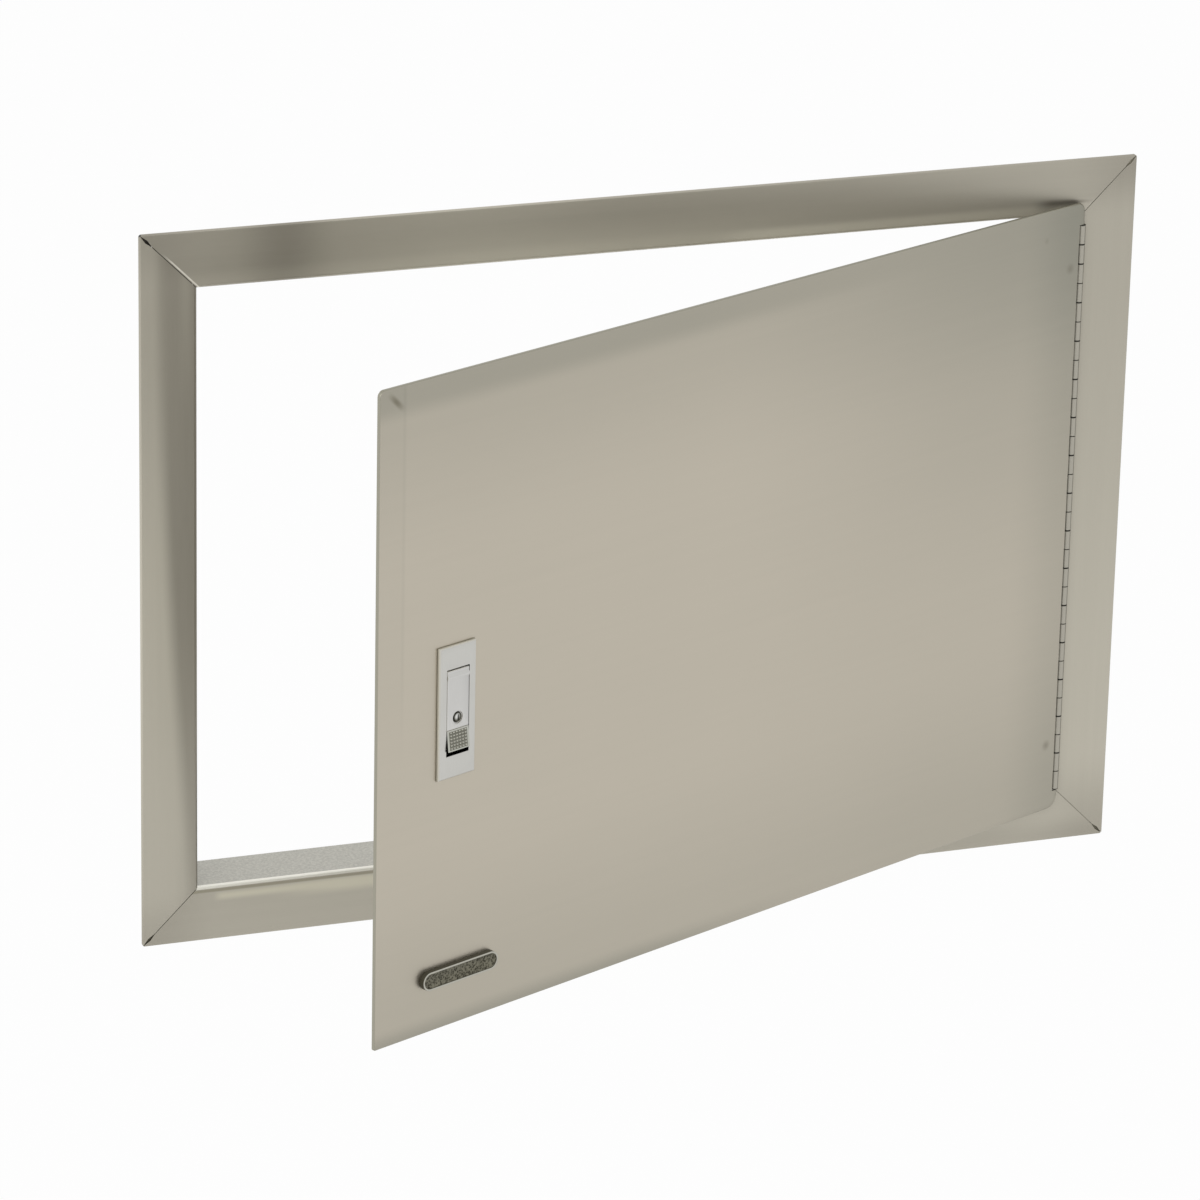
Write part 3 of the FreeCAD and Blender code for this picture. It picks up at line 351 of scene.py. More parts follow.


# The frame's rails: rows of painted soft reflections and shade, and marks, in metres along the rail from its
# middle and inward from its outer edge
railTones = {
    "metal": 0.55,
    "jamb": shown(195, 193, 183),
    "jambSpeck": shown(172, 170, 161),
    "jambStart": ("y", "smooth", -0.0002, 0.0010),
    "jambSide": ("inward", "smooth", layout["railWidth"] - 0.003, layout["railWidth"] - 0.001),
    "speck": (520.0, 4.0, 0.75),
    "speckSpan": (0.35, 0.65),
    "bendHighlight": shown(252, 250, 240),
    "bendShade": shown(150, 145, 128),
    "glare": shown(198, 193, 174),
}
rails = {
    "top": {
        "direction": "X",
        "outward": 1,
        "base": 0.506,
        "light": [
            (-0.21, ("along", "hump", -0.323, 0.045)),
            (-0.275, ("along", "hump", -0.232, 0.036)),
            (0.26, ("along", "hump", -0.125, 0.140)),
            (0.044, ("along", "hump", 0.020, 0.120)),
            (-0.14, ("along", "hump", 0.323, 0.050)),
            (0.47, ("inward", "smooth", 0.010, 0.034), ("along", "hump", -0.02, 0.27)),
            (0.18, ("inward", "smooth", 0.024, 0.034)),
            (0.36, "paler", ("inward", "smooth", 0.0265, 0.031)),
            (-0.6, "tip", ("along", "between", 0.260, 0.2885, 0.009)),
        ],
        "marks": [
            # Painted highlight along the mitre's inner half
            (mitre["glint"], 1.0, "glintLine", ("inward", "smooth", 0.012, 0.022),
             ("along", "smooth", -0.2, -0.21)),
        ],
        "paler": [("along", "smooth", 0.03, 0.08), ("along", "smooth", 0.266, 0.252)],
        "tip": {"place": 0.0277, "width": 0.0278, "taper": -0.09},
        "glintBand": (0.0003, 0.0016, 0.0003),
        "glintNoise": {"scale": 300.0, "detail": 2.0, "swing": 0.6, "least": 0.55},
    },
    "bottom": {
        "direction": "X",
        "outward": -1,
        "base": 0.60,
        "light": [
            (-0.185, ("along", "hump", -0.320, 0.050)),
            (-0.174, ("along", "hump", 0.320, 0.060)),
            (0.18, ("inward", "smooth", 0.002, 0.020), ("along", "smooth", 0.20, 0.28)),
            (-0.05, ("along", "smooth", 0.20, 0.28)),
        ],
        "marks": [
            # Painted glare, painted shade just before the bend and a painted highlight along the sill's bend
            (railTones["glare"], 1.0, "glare", ("along", "smooth", 0.10, 0.0)),
            (railTones["bendShade"], 1.0, ("inward", "between", 0.0318, 0.0338, 0.0005),
             ("along", "smooth", 0.10, 0.0)),
            (railTones["bendHighlight"], 1.0, ("inward", "smooth", 0.0338, 0.0345),
             ("y", "smooth", 0.0008, -0.0004)),
        ],
        "glow": [("inward", "hump", 0.0285, 0.0040), ("along", "smooth", -0.279, -0.272)],
        "spread": [("inward", "hump", 0.0270, 0.0070), ("along", "smooth", -0.250, -0.190)],
    },
    "left": {
        "direction": "Z",
        "outward": -1,
        "base": 0.332,
        "light": [
            (-0.158, ("along", "hump", -0.228, 0.035)),
            (-0.187, ("along", "hump", 0.228, 0.035)),
            (0.29, "band", ("along", "hump", -0.02, 0.22)),
            (0.317, "band"),
            (0.131, "beside", ("along", "smooth", 0.05, -0.19)),
            (0.136, ("inward", "hump", 0.028, 0.006), ("along", "smooth", 0.1, 0.2)),
            (-0.145, ("inward", "smooth", 0.018, 0.034), ("along", "smooth", -0.05, -0.20)),
        ],
        "marks": [
            # Painted shade line along the inner bend, towards the sill
            (mitre["lens"], 0.75, ("inward", "smooth", 0.0336, 0.0348), ("along", "smooth", -0.08, -0.14)),
        ],
        "band": {"start": 0.19, "length": 0.384, "curve": 1.6, "grow": 0.019, "least": 0.011},
        "bandSoft": (0.006, -0.005),
    },
    "right": {
        "direction": "Z",
        "outward": 1,
        "base": 0.57,
        "light": [
            (-0.28, ("along", "hump", -0.228, 0.060)),
            (-0.28, ("along", "hump", 0.228, 0.040)),
            (0.179, ("along", "smooth", 0.21, -0.16)),
        ],
        "marks": [],
    },
}


def topValues(finish, local, values, spec):
    # A painted shadow tip where the door's top meets the frame, and a painted highlight along the mitre's inner
    # half
    along, inward = values["along"], values["inward"]
    tip, glintNoise = spec["tip"], spec["glintNoise"]
    glintBreakup = finish.noise(local, glintNoise["scale"], glintNoise["detail"]) * glintNoise["swing"] + glintNoise["least"]
    return {
        "paler": finish.product(values, spec["paler"]),
        "tip": finish.smooth(abs(inward - tip["place"]), along * tip["taper"] + tip["width"], 0.0),
        "glintLine": finish.between(along + outerX - inward, *spec["glintBand"]) * glintBreakup,
    }


def bottomValues(finish, local, values, spec):
    # Two glares that run into each other
    glow = finish.product(values, spec["glow"])
    spread = finish.product(values, spec["spread"])
    return {"glare": 1.0 - (1.0 - glow) * (1.0 - spread)}


def leftValues(finish, local, values, spec):
    # The painted bright outer band of reflection, which widens towards the bottom
    band = spec["band"]
    widened = ((band["start"] - values["along"]) / band["length"]).power(band["curve"])
    edge = widened * band["grow"] + band["least"]
    inside = finish.smooth(values["inward"] - edge, *spec["bandSoft"])
    return {"band": inside, "beside": 1.0 - inside}


moreValues = {"top": topValues, "bottom": bottomValues, "left": leftValues}


def railFinish(name, side):
    spec = rails[side]
    level = spec["direction"] == "X"

    def lighten(finish, local):
        x, y, z = finish.axes(local)
        along, across = (x, z) if level else (z, x)
        inward = (outerZ if level else outerX) - across * spec["outward"]
        values = {"along": along, "inward": inward, "y": y}
        if side in moreValues:
            values.update(moreValues[side](finish, local, values, spec))
        nx, _, nz = finish.axes(finish.normal)
        mitred = mitreShade(finish, x, z, inward)
        speck = finish.smooth(finish.noise(local, *railTones["speck"]), *railTones["speckSpan"])
        jamb = finish.product(values, [railTones["jambStart"], railTones["jambSide"]])
        # Painted shade in the mitres' grooves and on their walls, and the jambs' speckled tone
        marks = [
            (grooveFloor(finish, y), mitred),
            (finish.smooth(abs(nx * nz), *mitre["wall"]), mitred),
            (jamb, finish.mix(speck, railTones["jambSpeck"], railTones["jamb"])),
        ]
        for tone, strength, *factors in spec["marks"]:
            marks.append((finish.product(values, factors) * strength, tone))
        return finish.patches(spec["base"], values, spec["light"]), marks

    return brushedSheet(name, spec["direction"], lighten, metal=railTones["metal"])


# The door's sheet, in its own coordinates from the hinge's axis
skin = {
    "deep": shown(156, 153, 141),
    "pale": shown(200, 192, 177),
    "base": 0.774,
    "left": -0.588525,
    "top": 0.2028,
    "low": -0.2052,
    # Rows of painted reflections and shade over the sheet
    "light": [
        (-0.30, ("fromTop", "smooth", 0.023, 0.010), ("x", "smooth", -0.10, -0.36)),
        (-0.277, ("fromTop", "smooth", 0.12, 0.0)),
        (-0.238, ("fromLow", "smooth", 0.13, 0.0)),
        (-0.41, ("fromLow", "smooth", 0.012, 0.0), ("x", "smooth", -0.20, -0.40)),
        (-0.304, ("x", "smooth", -0.33, -0.04), ("fromTop", "smooth", 0.26, 0.04)),
        (-0.111, ("x", "smooth", -0.33, -0.04)),
        (-0.248, ("x", "smooth", -0.06, -0.004)),
        # Painted shade: the end of the fold behind shows through as a faint upright line
        (-0.09, ("fromFree", "hump", 0.019, 0.0022), ("z", "smooth", -0.04, 0.04)),
        (-0.04, ("fromFree", "smooth", 0.0205, 0.0180), ("z", "smooth", -0.04, 0.04)),
    ],
    "dent": {
        "tone": shown(112, 107, 90),
        "slope": (0.715, 0.699),
        "offset": 0.0024,
        "width": (0.0028, 0.0003),
        "middle": 0.0150,
        "reach": 0.0100,
        "strength": 0.72,
    },
    "weld": shown(116, 111, 98),
    "welds": [  # place across and up, reach, strength
        (-0.0110, 0.1612, 0.0048, 0.45),
        (-0.0121, -0.1598, 0.0048, 0.50),
        (-0.0340, 0.1837, 0.0030, 0.20),
    ],
    "weldDepth": -0.00178,
    "line": shown(108, 104, 91),
    "lineEnds": (0.180, 0.186),
    "lineCore": 0.2,
    "reachCore": 0.3,
    "tab": 0.0005,
    "corners": [
        {"level": 0.2028, "sign": 1, "radius": 0.006, "soft": 0.0012, "reach": 0.020, "strength": 0.60},
        {"level": -0.2052, "sign": -1, "radius": 0.008, "soft": 0.0042, "reach": 0.110, "strength": 0.08},
    ],
    "contact": shown(104, 99, 85),
    "contactSpan": (0.0008, 0.0001),
    "contactStrength": 0.5,
    "bezelHalf": (0.0144, 0.0413),
    "edge": shown(150, 147, 133),
    "edgeSpan": (0.93, 0.60),
    "edgeFront": ("y", "smooth", 0.0004, -0.0004),
    "edgeFade": [("x", "smooth", -0.16, -0.06), ("z", "smooth", 0.0, -0.1)],
    "edgeFadeStrength": 0.75,
    "freeEdge": shown(164, 161, 147),
    "freeSpan": (0.60, 0.90),
}


def dentShade(finish, values):
    # Painted shade along a dent that runs in from the upper free corner, where the folds meet
    dent = skin["dent"]
    first, second = dent["slope"]
    run = values["fromFree"] * first + values["fromTop"] * second
    off = abs(values["fromFree"] * second - values["fromTop"] * first - dent["offset"])
    mask = finish.smooth(off, *dent["width"]) * finish.hump(run, dent["middle"], dent["reach"])
    return mask * dent["strength"], dent["tone"]


def cornerShade(finish, values, corner):
    # Painted shade: a grey line round a corner beside the hinge
    x, z = values["x"], values["z"]
    across = (x + (corner["radius"] - skin["tab"])).larger(0.0)
    up = ((z - corner["level"]) * corner["sign"] + corner["radius"]).larger(0.0)
    inside = corner["radius"] - (across * across + up * up).power(0.5)
    line = finish.smooth(inside, corner["soft"], corner["soft"] * skin["lineCore"])
    line = line * finish.smooth(x, -corner["reach"], -corner["reach"] * skin["reachCore"])
    return line * finish.smooth(abs(z), *skin["lineEnds"]) * corner["strength"], skin["line"]


def doorLighten(finish, local):
    x, y, z = finish.axes(local)
    values = {
        "x": x,
        "y": y,
        "z": z,
        "fromTop": skin["top"] - z,
        "fromLow": z - skin["low"],
        "fromFree": x - skin["left"],
    }
    marks = [dentShade(finish, values)]
    for across, height, reach, strength in skin["welds"]:
        gap = finish.away(local, (across, skin["weldDepth"], height))
        marks.append((finish.smooth(gap, reach, 0.0) * strength, skin["weld"]))
    marks += [cornerShade(finish, values, corner) for corner in skin["corners"]]
    # A painted contact shadow where the latch's bezel touches the sheet
    centre = toDoor(latch)
    halfWidth, halfHeight = skin["bezelHalf"]
    beyond = (abs(x - centre.x) - halfWidth).larger(abs(z - centre.z) - halfHeight)
    marks.append((finish.smooth(beyond, *skin["contactSpan"]) * skin["contactStrength"], skin["contact"]))
    # Painted shade on the sheet's edges that turn away from the front, weaker near the hinge's lower part, and on
    # the free edge
    rim = finish.smooth(finish.facing(doorFront), *skin["edgeSpan"])
    fade = 1.0 - finish.product(values, skin["edgeFade"]) * skin["edgeFadeStrength"]
    marks.append((rim * finish.product(values, [skin["edgeFront"]]) * fade, skin["edge"]))
    marks.append((finish.smooth(finish.facing(doorLeft), *skin["freeSpan"]), skin["freeEdge"]))
    return finish.patches(skin["base"], values, skin["light"]), marks


def doorFinish():
    return brushedSheet("doorSteel", "X", doorLighten, skin["deep"], skin["pale"], hinge, doorTurn)


# The continuous hinge, with painted shade in its joints, a bold line at every second joint
knuckles = {
    "face": shown(170, 166, 154),
    "metal": 0.5,
    "right": (0.94, -0.34, 0.0),
    "dark": shown(26, 24, 18),
    "soft": shown(92, 88, 76),
    "top": 0.1878,
    "pitch": 0.0127,
    "barrel": (0.0036, 0.0032),
    "end": (0.6, 0.9),
    "thin": (0.00050, 0.00025),
    "thinStrength": 0.55,
    "bold": (0.00065, 0.00040),
    "boldStrength": 0.85,
    "sunk": [
        ("x", "smooth", -0.0029, -0.0032),
        ("x", "smooth", -0.0060, -0.0050),
        ("front", "smooth", 0.2, 0.5),
    ],
    "side": (0.70, 0.84),
    "sideStrength": 0.6,
}


def hingeLighten(finish, local):
    x, _, z = finish.axes(local)
    values = {"x": x, "front": finish.facing(doorFront)}
    top, pitch = knuckles["top"], knuckles["pitch"]
    barrel = finish.smooth(finish.away(local, (0, 0, 0), (1, 1, 0)), *knuckles["barrel"])
    ends = finish.smooth(abs(finish.axes(finish.normal)[2]), *knuckles["end"])
    thin = finish.smooth(finish.nearest(z, top, pitch), *knuckles["thin"])
    bold = finish.smooth(finish.nearest(z, top, pitch * 2), *knuckles["bold"])
    first = finish.smooth(abs(z - (top - pitch)), *knuckles["bold"])
    side = finish.smooth(finish.facing(knuckles["right"]), *knuckles["side"])
    # Painted shade: lines in the joints, the knuckles' ends, the sunk strip beside the knuckles and the knuckles'
    # right side
    return 1.0, [
        (thin * barrel * knuckles["thinStrength"], knuckles["soft"]),
        (ends * barrel, knuckles["dark"]),
        (bold * barrel * knuckles["boldStrength"], knuckles["dark"]),
        (first * barrel * knuckles["boldStrength"], knuckles["dark"]),
        (finish.product(values, knuckles["sunk"]), knuckles["dark"]),
        (side * barrel * knuckles["sideStrength"], knuckles["soft"]),
    ]


def hingeFinish(name):
    return brushedSheet(
        name, "Z", hingeLighten, pale=knuckles["face"], origin=hinge, turn=doorTurn, metal=knuckles["metal"])


# The latch: satin plate with a fine upright grain
chrome = {
    "bezel": shown(200, 199, 194),
    "lever": shown(206, 205, 202),
    "pad": shown(186, 187, 177),
    "padField": shown(96, 96, 83),
    "side": shown(196, 192, 178),
    "sideSpan": (0.88, 0.60),
    "sideMetal": 0.4,
    "inside": shown(22, 20, 16),
    "insideSpan": 0.0012,
    "head": shown(176, 175, 170),
    "headSpan": (0.03, 0.16),
    "headStrength": 0.3,
    "flank": [("left", "smooth", 0.5, 0.8), ("x", "smooth", -0.0080, -0.0083)],
    "window": [("fromMiddle", "smooth", 0.0094, 0.0091), ("fromLevel", "smooth", 0.0276, 0.0273)],
    "castDeep": shown(140, 140, 136),
    "castPale": shown(178, 178, 174),
    "castScale": 700.0,
    "castFrom": (-0.0002, 0.0002),
    "grain": (1 / 0.0004, 1 / 0.0004, 1 / 0.012),
    "cloud": 60.0,
    "toneSpan": (0.90, 1.07),
    "rough": 0.30,
    "roughSwing": 0.08,
    "bump": 0.08,
    "bumpDepth": 0.00002,
}
padGrid = {
    "columns": 6,
    "pitch": 0.00226,
    "slot": 0.00105,
    "low": -0.0238,  # the face's lower edge, from the latch's centre
    "foot": -0.0040,  # how far the face stands out there
    "slope": 0.0015 / 0.01285,
    "slotLength": 0.0135,
    "slotDepth": 0.002,
    "middle": 0.0065,  # the slots' centre, from the face's lower edge
    "bite": 0.00003,
    "field": [("x", "between", -0.0070, 0.0070, 0.0002), ("z", "between", -0.0229, -0.0118, 0.0002)],
    "floor": (-0.00030, -0.00012),
}


def latchFinish(name, face, depth, paintFace=None, paintBack=None):
    # Sides get a tone painted for the light that falls on them, and what lies deeper than depth gets painted shade
    finish = Finish(name)
    local = finish.local(latch, doorTurn)
    grain = finish.noise(finish.stretch(local, chrome["grain"]), *sheet["fineNoise"])
    cloud = finish.noise(local, chrome["cloud"])
    low, high = chrome["toneSpan"]
    colour = finish.mix(grain * 0.5 + cloud * 0.5, toned(face, low), toned(face, high))
    if paintFace:
        colour = paintFace(finish, local, colour)
    turned = finish.smooth(finish.facing(doorFront), *chrome["sideSpan"])
    colour = finish.mix(turned, colour, chrome["side"])
    # The lever's rounded head catches more light than the photograph shows
    head = finish.smooth(finish.axes(finish.normal)[2], *chrome["headSpan"])
    colour = finish.mix(head * (1.0 - turned) * chrome["headStrength"], colour, chrome["head"])
    deep = finish.smooth(finish.axes(local)[1], depth, depth + chrome["insideSpan"])
    if paintBack:
        colour, deep = paintBack(finish, local, colour, deep, turned)
    return finish.use(
        colour=finish.mix(deep, colour, chrome["inside"]),
        metal=1.0 - turned * (1.0 - deep) * (1.0 - chrome["sideMetal"]),
        rough=grain * chrome["roughSwing"] + chrome["rough"],
        normal=finish.bump(grain, chrome["bump"], chrome["bumpDepth"]),
    )


def padFace(finish, local, colour):
    # Painted shade on the floor between the pad's blocks, darker than its margin
    x, y, z = finish.axes(local)
    field = finish.product({"x": x, "z": z}, padGrid["field"])
    floor = y - padGrid["foot"] - (z - padGrid["low"]) * padGrid["slope"]
    return finish.mix(field * finish.smooth(floor, *padGrid["floor"]), colour, chrome["padField"])


def padBack(finish, local, colour, deep, turned):
    # The pad's left flank stands in the window's shade
    values = {"left": finish.facing(doorLeft), "x": finish.axes(local)[0]}
    return colour, deep.larger(finish.product(values, chrome["flank"]))


def caseBack(finish, local, colour, deep, turned):
    # Inside the window all gets painted shade, and the housing's outside is plain casting
    x, y, z = finish.axes(local)
    window = finish.product({"fromMiddle": abs(x), "fromLevel": abs(z)}, chrome["window"])
    cast = finish.mix(finish.noise(local, chrome["castScale"]), chrome["castDeep"], chrome["castPale"])
    return finish.mix(finish.smooth(y, *chrome["castFrom"]), colour, cast), deep.larger(turned) * window


# The lock: a domed face with a painted highlight, a dark rim of painted shade and painted shade on its sides
dome = {
    "deep": shown(84, 82, 74),
    "pale": shown(214, 214, 210),
    "rim": shown(46, 44, 36),
    "rimSpan": (0.0021, 0.0031),
    "shine": (-0.0012, -0.0028, 0.0011),
    "shineSpan": (0.0030, 0.0006),
    "grain": (900, 900, 900),
    "grainSwing": 0.1,
    "sideSpan": (0.55, 0.30),
    "rough": 0.22,
    "bump": 0.1,
    "bumpDepth": 0.00001,
}


def lockFinish():
    finish = Finish("lockChrome")
    local = finish.local(lock, doorTurn)
    grain = finish.noise(finish.stretch(local, dome["grain"]), 1.0, 2.0)
    glow = finish.smooth(finish.away(local, dome["shine"]), *dome["shineSpan"])
    colour = finish.mix(glow + (grain - 0.5) * dome["grainSwing"], dome["deep"], dome["pale"])
    radius = finish.away(local, (0, 0, 0), (1, 0, 1))
    colour = finish.mix(finish.smooth(radius, *dome["rimSpan"]), colour, dome["rim"])
    turned = finish.smooth(finish.facing(doorFront), *dome["sideSpan"])
    colour = finish.mix(turned, colour, chrome["inside"])
    bump = finish.bump(grain, dome["bump"], dome["bumpDepth"])
    return finish.use(colour=colour, metal=1.0, rough=dome["rough"], normal=bump)


# The bare plate: a bright rim round a dark pebbled field
plate = {
    "rim": shown(186, 184, 173),
    "rimDeep": 0.85,
    "field": shown(38, 36, 26),
    "fieldPale": shown(126, 123, 108),
    "fieldSpan": (0.25, 0.95),
    "side": shown(76, 73, 60),
    "sideSpan": (0.85, 0.55),
    "sideMetal": 0.5,
    "sunk": (-0.005175, -0.004975),
    "pebble": 850.0,
    "grime": (260.0, 4.0, 0.6),
    "dirtShares": (0.8, 0.5),
    "rough": 0.28,
    "roughSwing": 0.25,
    "bump": 0.45,
    "bumpDepth": 0.0001,
    "stretch": 1.035,
    "shift": -0.0003,
}


def badgeFinish():
    finish = Finish("badgeMetal")
    low, high = (Vector(corner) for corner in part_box("badge"))
    local = finish.local((low + high) / 2, doorTurn)
    depth = finish.axes(finish.local(hinge, doorTurn))[1]
    pebble = finish.add("ShaderNodeTexVoronoi", {}, {"Vector": local, "Scale": plate["pebble"]})
    grime = finish.noise(local, *plate["grime"])
    sunk = finish.smooth(depth, *plate["sunk"])
    # The plate's sides get painted shade
    turned = finish.smooth(finish.facing(doorFront), *plate["sideSpan"])
    pebbleShare, grimeShare = plate["dirtShares"]
    dirt = finish.smooth(pebble * pebbleShare + grime * grimeShare, *plate["fieldSpan"])
    rim = finish.mix(grime, toned(plate["rim"], plate["rimDeep"]), plate["rim"])
    colour = finish.mix(sunk, rim, finish.mix(dirt, plate["field"], plate["fieldPale"]))
    return finish.use(
        colour=finish.mix(turned, colour, plate["side"]),
        metal=1.0 - turned * (1.0 - plate["sideMetal"]),
        rough=sunk * plate["roughSwing"] + plate["rough"],
        normal=finish.bump(pebble * sunk, plate["bump"], plate["bumpDepth"]),
    )


# Hidden hardware
mottled = {
    "castZinc": {"pale": shown(182, 182, 178), "deep": shown(150, 150, 146), "scale": 180.0, "rough": 0.45},
    "zincPlate": {"pale": shown(198, 200, 202), "deep": shown(168, 172, 176), "scale": 90.0, "rough": 0.34},
    "screwSteel": {"pale": shown(176, 175, 170), "deep": shown(132, 131, 126), "scale": 240.0, "rough": 0.30},
    "bumperRubber": {
        "pale": shown(44, 44, 44),
        "deep": shown(26, 26, 26),
        "scale": 300.0,
        "rough": 0.80,
        "metal": 0.0,
        "depth": 0.0001,
    },
}
drawn = {
    "springWire": (shown(150, 150, 146), "X"),
    "pinWire": (shown(120, 118, 110), "Z"),
}
speckle = {
    "mottleNoise": (4.0, 0.6),
    "toothTimes": 9,
    "toothShare": 0.3,
    "span": (0.3, 0.7),
    "roughSwing": 0.14,
    "bump": 0.25,
}
wireGrain = {
    "along": 60,
    "across": 2500,
    "span": (0.7, 1.25),
    "rough": 0.22,
    "roughSwing": 0.15,
    "bump": 0.1,
    "bumpDepth": 0.00001,
}


def speckled(name, pale, deep, scale, rough, metal=1.0, depth=0.00003):
    # Castings, plated steel and rubber: a mottled tone with a fine tooth
    finish = Finish(name)
    mottle = finish.noise(finish.place, scale, *speckle["mottleNoise"])
    tooth = finish.noise(finish.place, scale * speckle["toothTimes"], 2.0)
    mixed = mottle * (1 - speckle["toothShare"]) + tooth * speckle["toothShare"]
    return finish.use(
        colour=finish.mix(finish.smooth(mixed, *speckle["span"]), deep, pale),
        metal=metal,
        rough=tooth * speckle["roughSwing"] + (rough - speckle["roughSwing"] / 2),
        normal=finish.bump(tooth, speckle["bump"], depth),
    )


def drawnWire(name, tone, direction):
    finish = Finish(name)
    scale = grainScale(direction, wireGrain["along"], wireGrain["across"])
    streak = finish.noise(finish.stretch(finish.place, scale), *sheet["fineNoise"])
    low, high = wireGrain["span"]
    return finish.use(
        colour=finish.mix(streak, toned(tone, low), toned(tone, high)),
        metal=1.0,
        rough=streak * wireGrain["roughSwing"] + wireGrain["rough"],
        normal=finish.bump(streak, wireGrain["bump"], wireGrain["bumpDepth"]),
    )


def gussetLighten(finish, local):
    # The gussets are what shows at the bottom of the mitres' grooves, and get their painted shade
    x, y, z = finish.axes(local)
    inward = outerX - abs(x).larger(abs(z) + (outerX - outerZ))
    return 0.5, [(grooveFloor(finish, y), mitreShade(finish, x, z, inward))]


finishes = [
    railFinish("railTop", "top"),
    railFinish("railBottom", "bottom"),
    railFinish("railLeft", "left"),
    railFinish("railRight", "right"),
    doorFinish(),
    hingeFinish("hingeDoor"),
    hingeFinish("hingeFrame"),
    brushedSheet("gussetSteel", "X", gussetLighten),
    latchFinish("bezelChrome", chrome["bezel"], 0.0002, paintBack=caseBack),
    latchFinish("leverChrome", chrome["lever"], -0.0012),
    latchFinish("padChrome", chrome["pad"], 0.0, padFace, padBack),
    lockFinish(),
    badgeFinish(),
]
finishes += [speckled(name, **look) for name, look in mottled.items()]
finishes += [drawnWire(name, tone, direction) for name, (tone, direction) in drawn.items()]
materials = {material.name: material for material in finishes}
finishOf = {
    "frame_top_rail": "railTop",
    "frame_bottom_rail": "railBottom",
    "frame_latch_stile": "railLeft",
    "frame_hinge_stile": "railRight",
    "hinge_frame_leaf": "hingeFrame",
    "hinge_door_leaf": "hingeDoor",
    "latch_case": "bezelChrome",
    "latch_lever": "leverChrome",
    "latch_back_cover": "castZinc",
}
finishOfSlot = {
    "door_steel": "doorSteel",
    "gusset_steel": "gussetSteel",
    "pin_steel": "pinWire",
    "badge_metal": "badgeMetal",
    "lock_chrome": "lockChrome",
    "pad_chrome": "padChrome",
    "plain_zinc": "castZinc",
    "bracket_steel": "zincPlate",
    "screw_steel": "screwSteel",
    "spring_steel": "springWire",
    "bolt_steel": "zincPlate",
    "bumper_rubber": "bumperRubber",
}
for name, node in nodes.items():
    node.data.materials.clear()
    node.data.materials.append(materials[finishOf.get(name) or finishOfSlot[slotOf[name]]])
print("stage 2: materials")


def deselectAll():
    if bpy.context.object and bpy.context.object.mode != "OBJECT":
        bpy.ops.object.mode_set(mode="OBJECT")
    bpy.ops.object.select_all(action="DESELECT")


def applyAll(piece):
    deselectAll()
    piece.select_set(True)
    bpy.context.view_layer.objects.active = piece
    for modifier in list(piece.modifiers):
        bpy.ops.object.modifier_apply(modifier=modifier.name)


def setDown(piece, origin):
    # Built in the door's directions about the world's origin, then moved into its place in the mesh
    piece.data.transform(Matrix.Translation(origin) @ Matrix.Rotation(doorTurn, 4, "Z"))
    piece.data.update()


# Copies with softened edges stand for their plain solids: node and width of the edge
softened = {
    "latchBezel": ("latch_case", 0.00022),
    "leverPlate": ("latch_lever", 0.00022),
    "thumbPad": ("push_pad", 0.00012),
    "lockCore": ("lock_plug", 0.00010),
    "barePlate": ("badge", 0.00022),
    "springBolt": ("slam_bolt", 0.00025),
    "boltSaddle": ("bolt_guide", 0.00020),
    "upperClamp": ("latch_bracket_upper", 0.00020),
    "lowerClamp": ("latch_bracket_lower", 0.00020),
    "caseCover": ("latch_back_cover", 0.00020),
    "padLeaf": ("pad_spring", 0.00006),
    "clampScrews": ("latch_screws", 0.00012),
    "hemPads": ("door_bumpers", 0.00035),
}
softening = {
    "merge": 0.000003,
    "flat": 1,  # degrees
    "sharp": 32,
    "shade": 35,
    "segments": 2,
}


def softCopy(name, node, width):
    deselectAll()
    source = nodes[node]
    source.select_set(True)
    bpy.context.view_layer.objects.active = source
    bpy.ops.object.duplicate()
    piece = bpy.context.object
    piece.name = name
    piece.data.name = name
    bpy.ops.object.mode_set(mode="EDIT")
    bpy.ops.mesh.select_all(action="SELECT")
    bpy.ops.mesh.remove_doubles(threshold=softening["merge"])
    bpy.ops.mesh.dissolve_limited(angle_limit=math.radians(softening["flat"]))
    bpy.ops.object.mode_set(mode="OBJECT")
    edge = piece.modifiers.new("softEdge", "BEVEL")
    edge.width = width
    edge.segments = softening["segments"]
    edge.limit_method = "ANGLE"
    edge.angle_limit = math.radians(softening["sharp"])
    edge.use_clamp_overlap = False
    applyAll(piece)
    bpy.ops.object.shade_smooth_by_angle(angle=math.radians(softening["shade"]))
    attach(piece, bodyOf[node])
    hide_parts(node)
    return piece


pieces = {name: softCopy(name, node, width) for name, (node, width) in softened.items()}
print("stage 3: softened pieces")


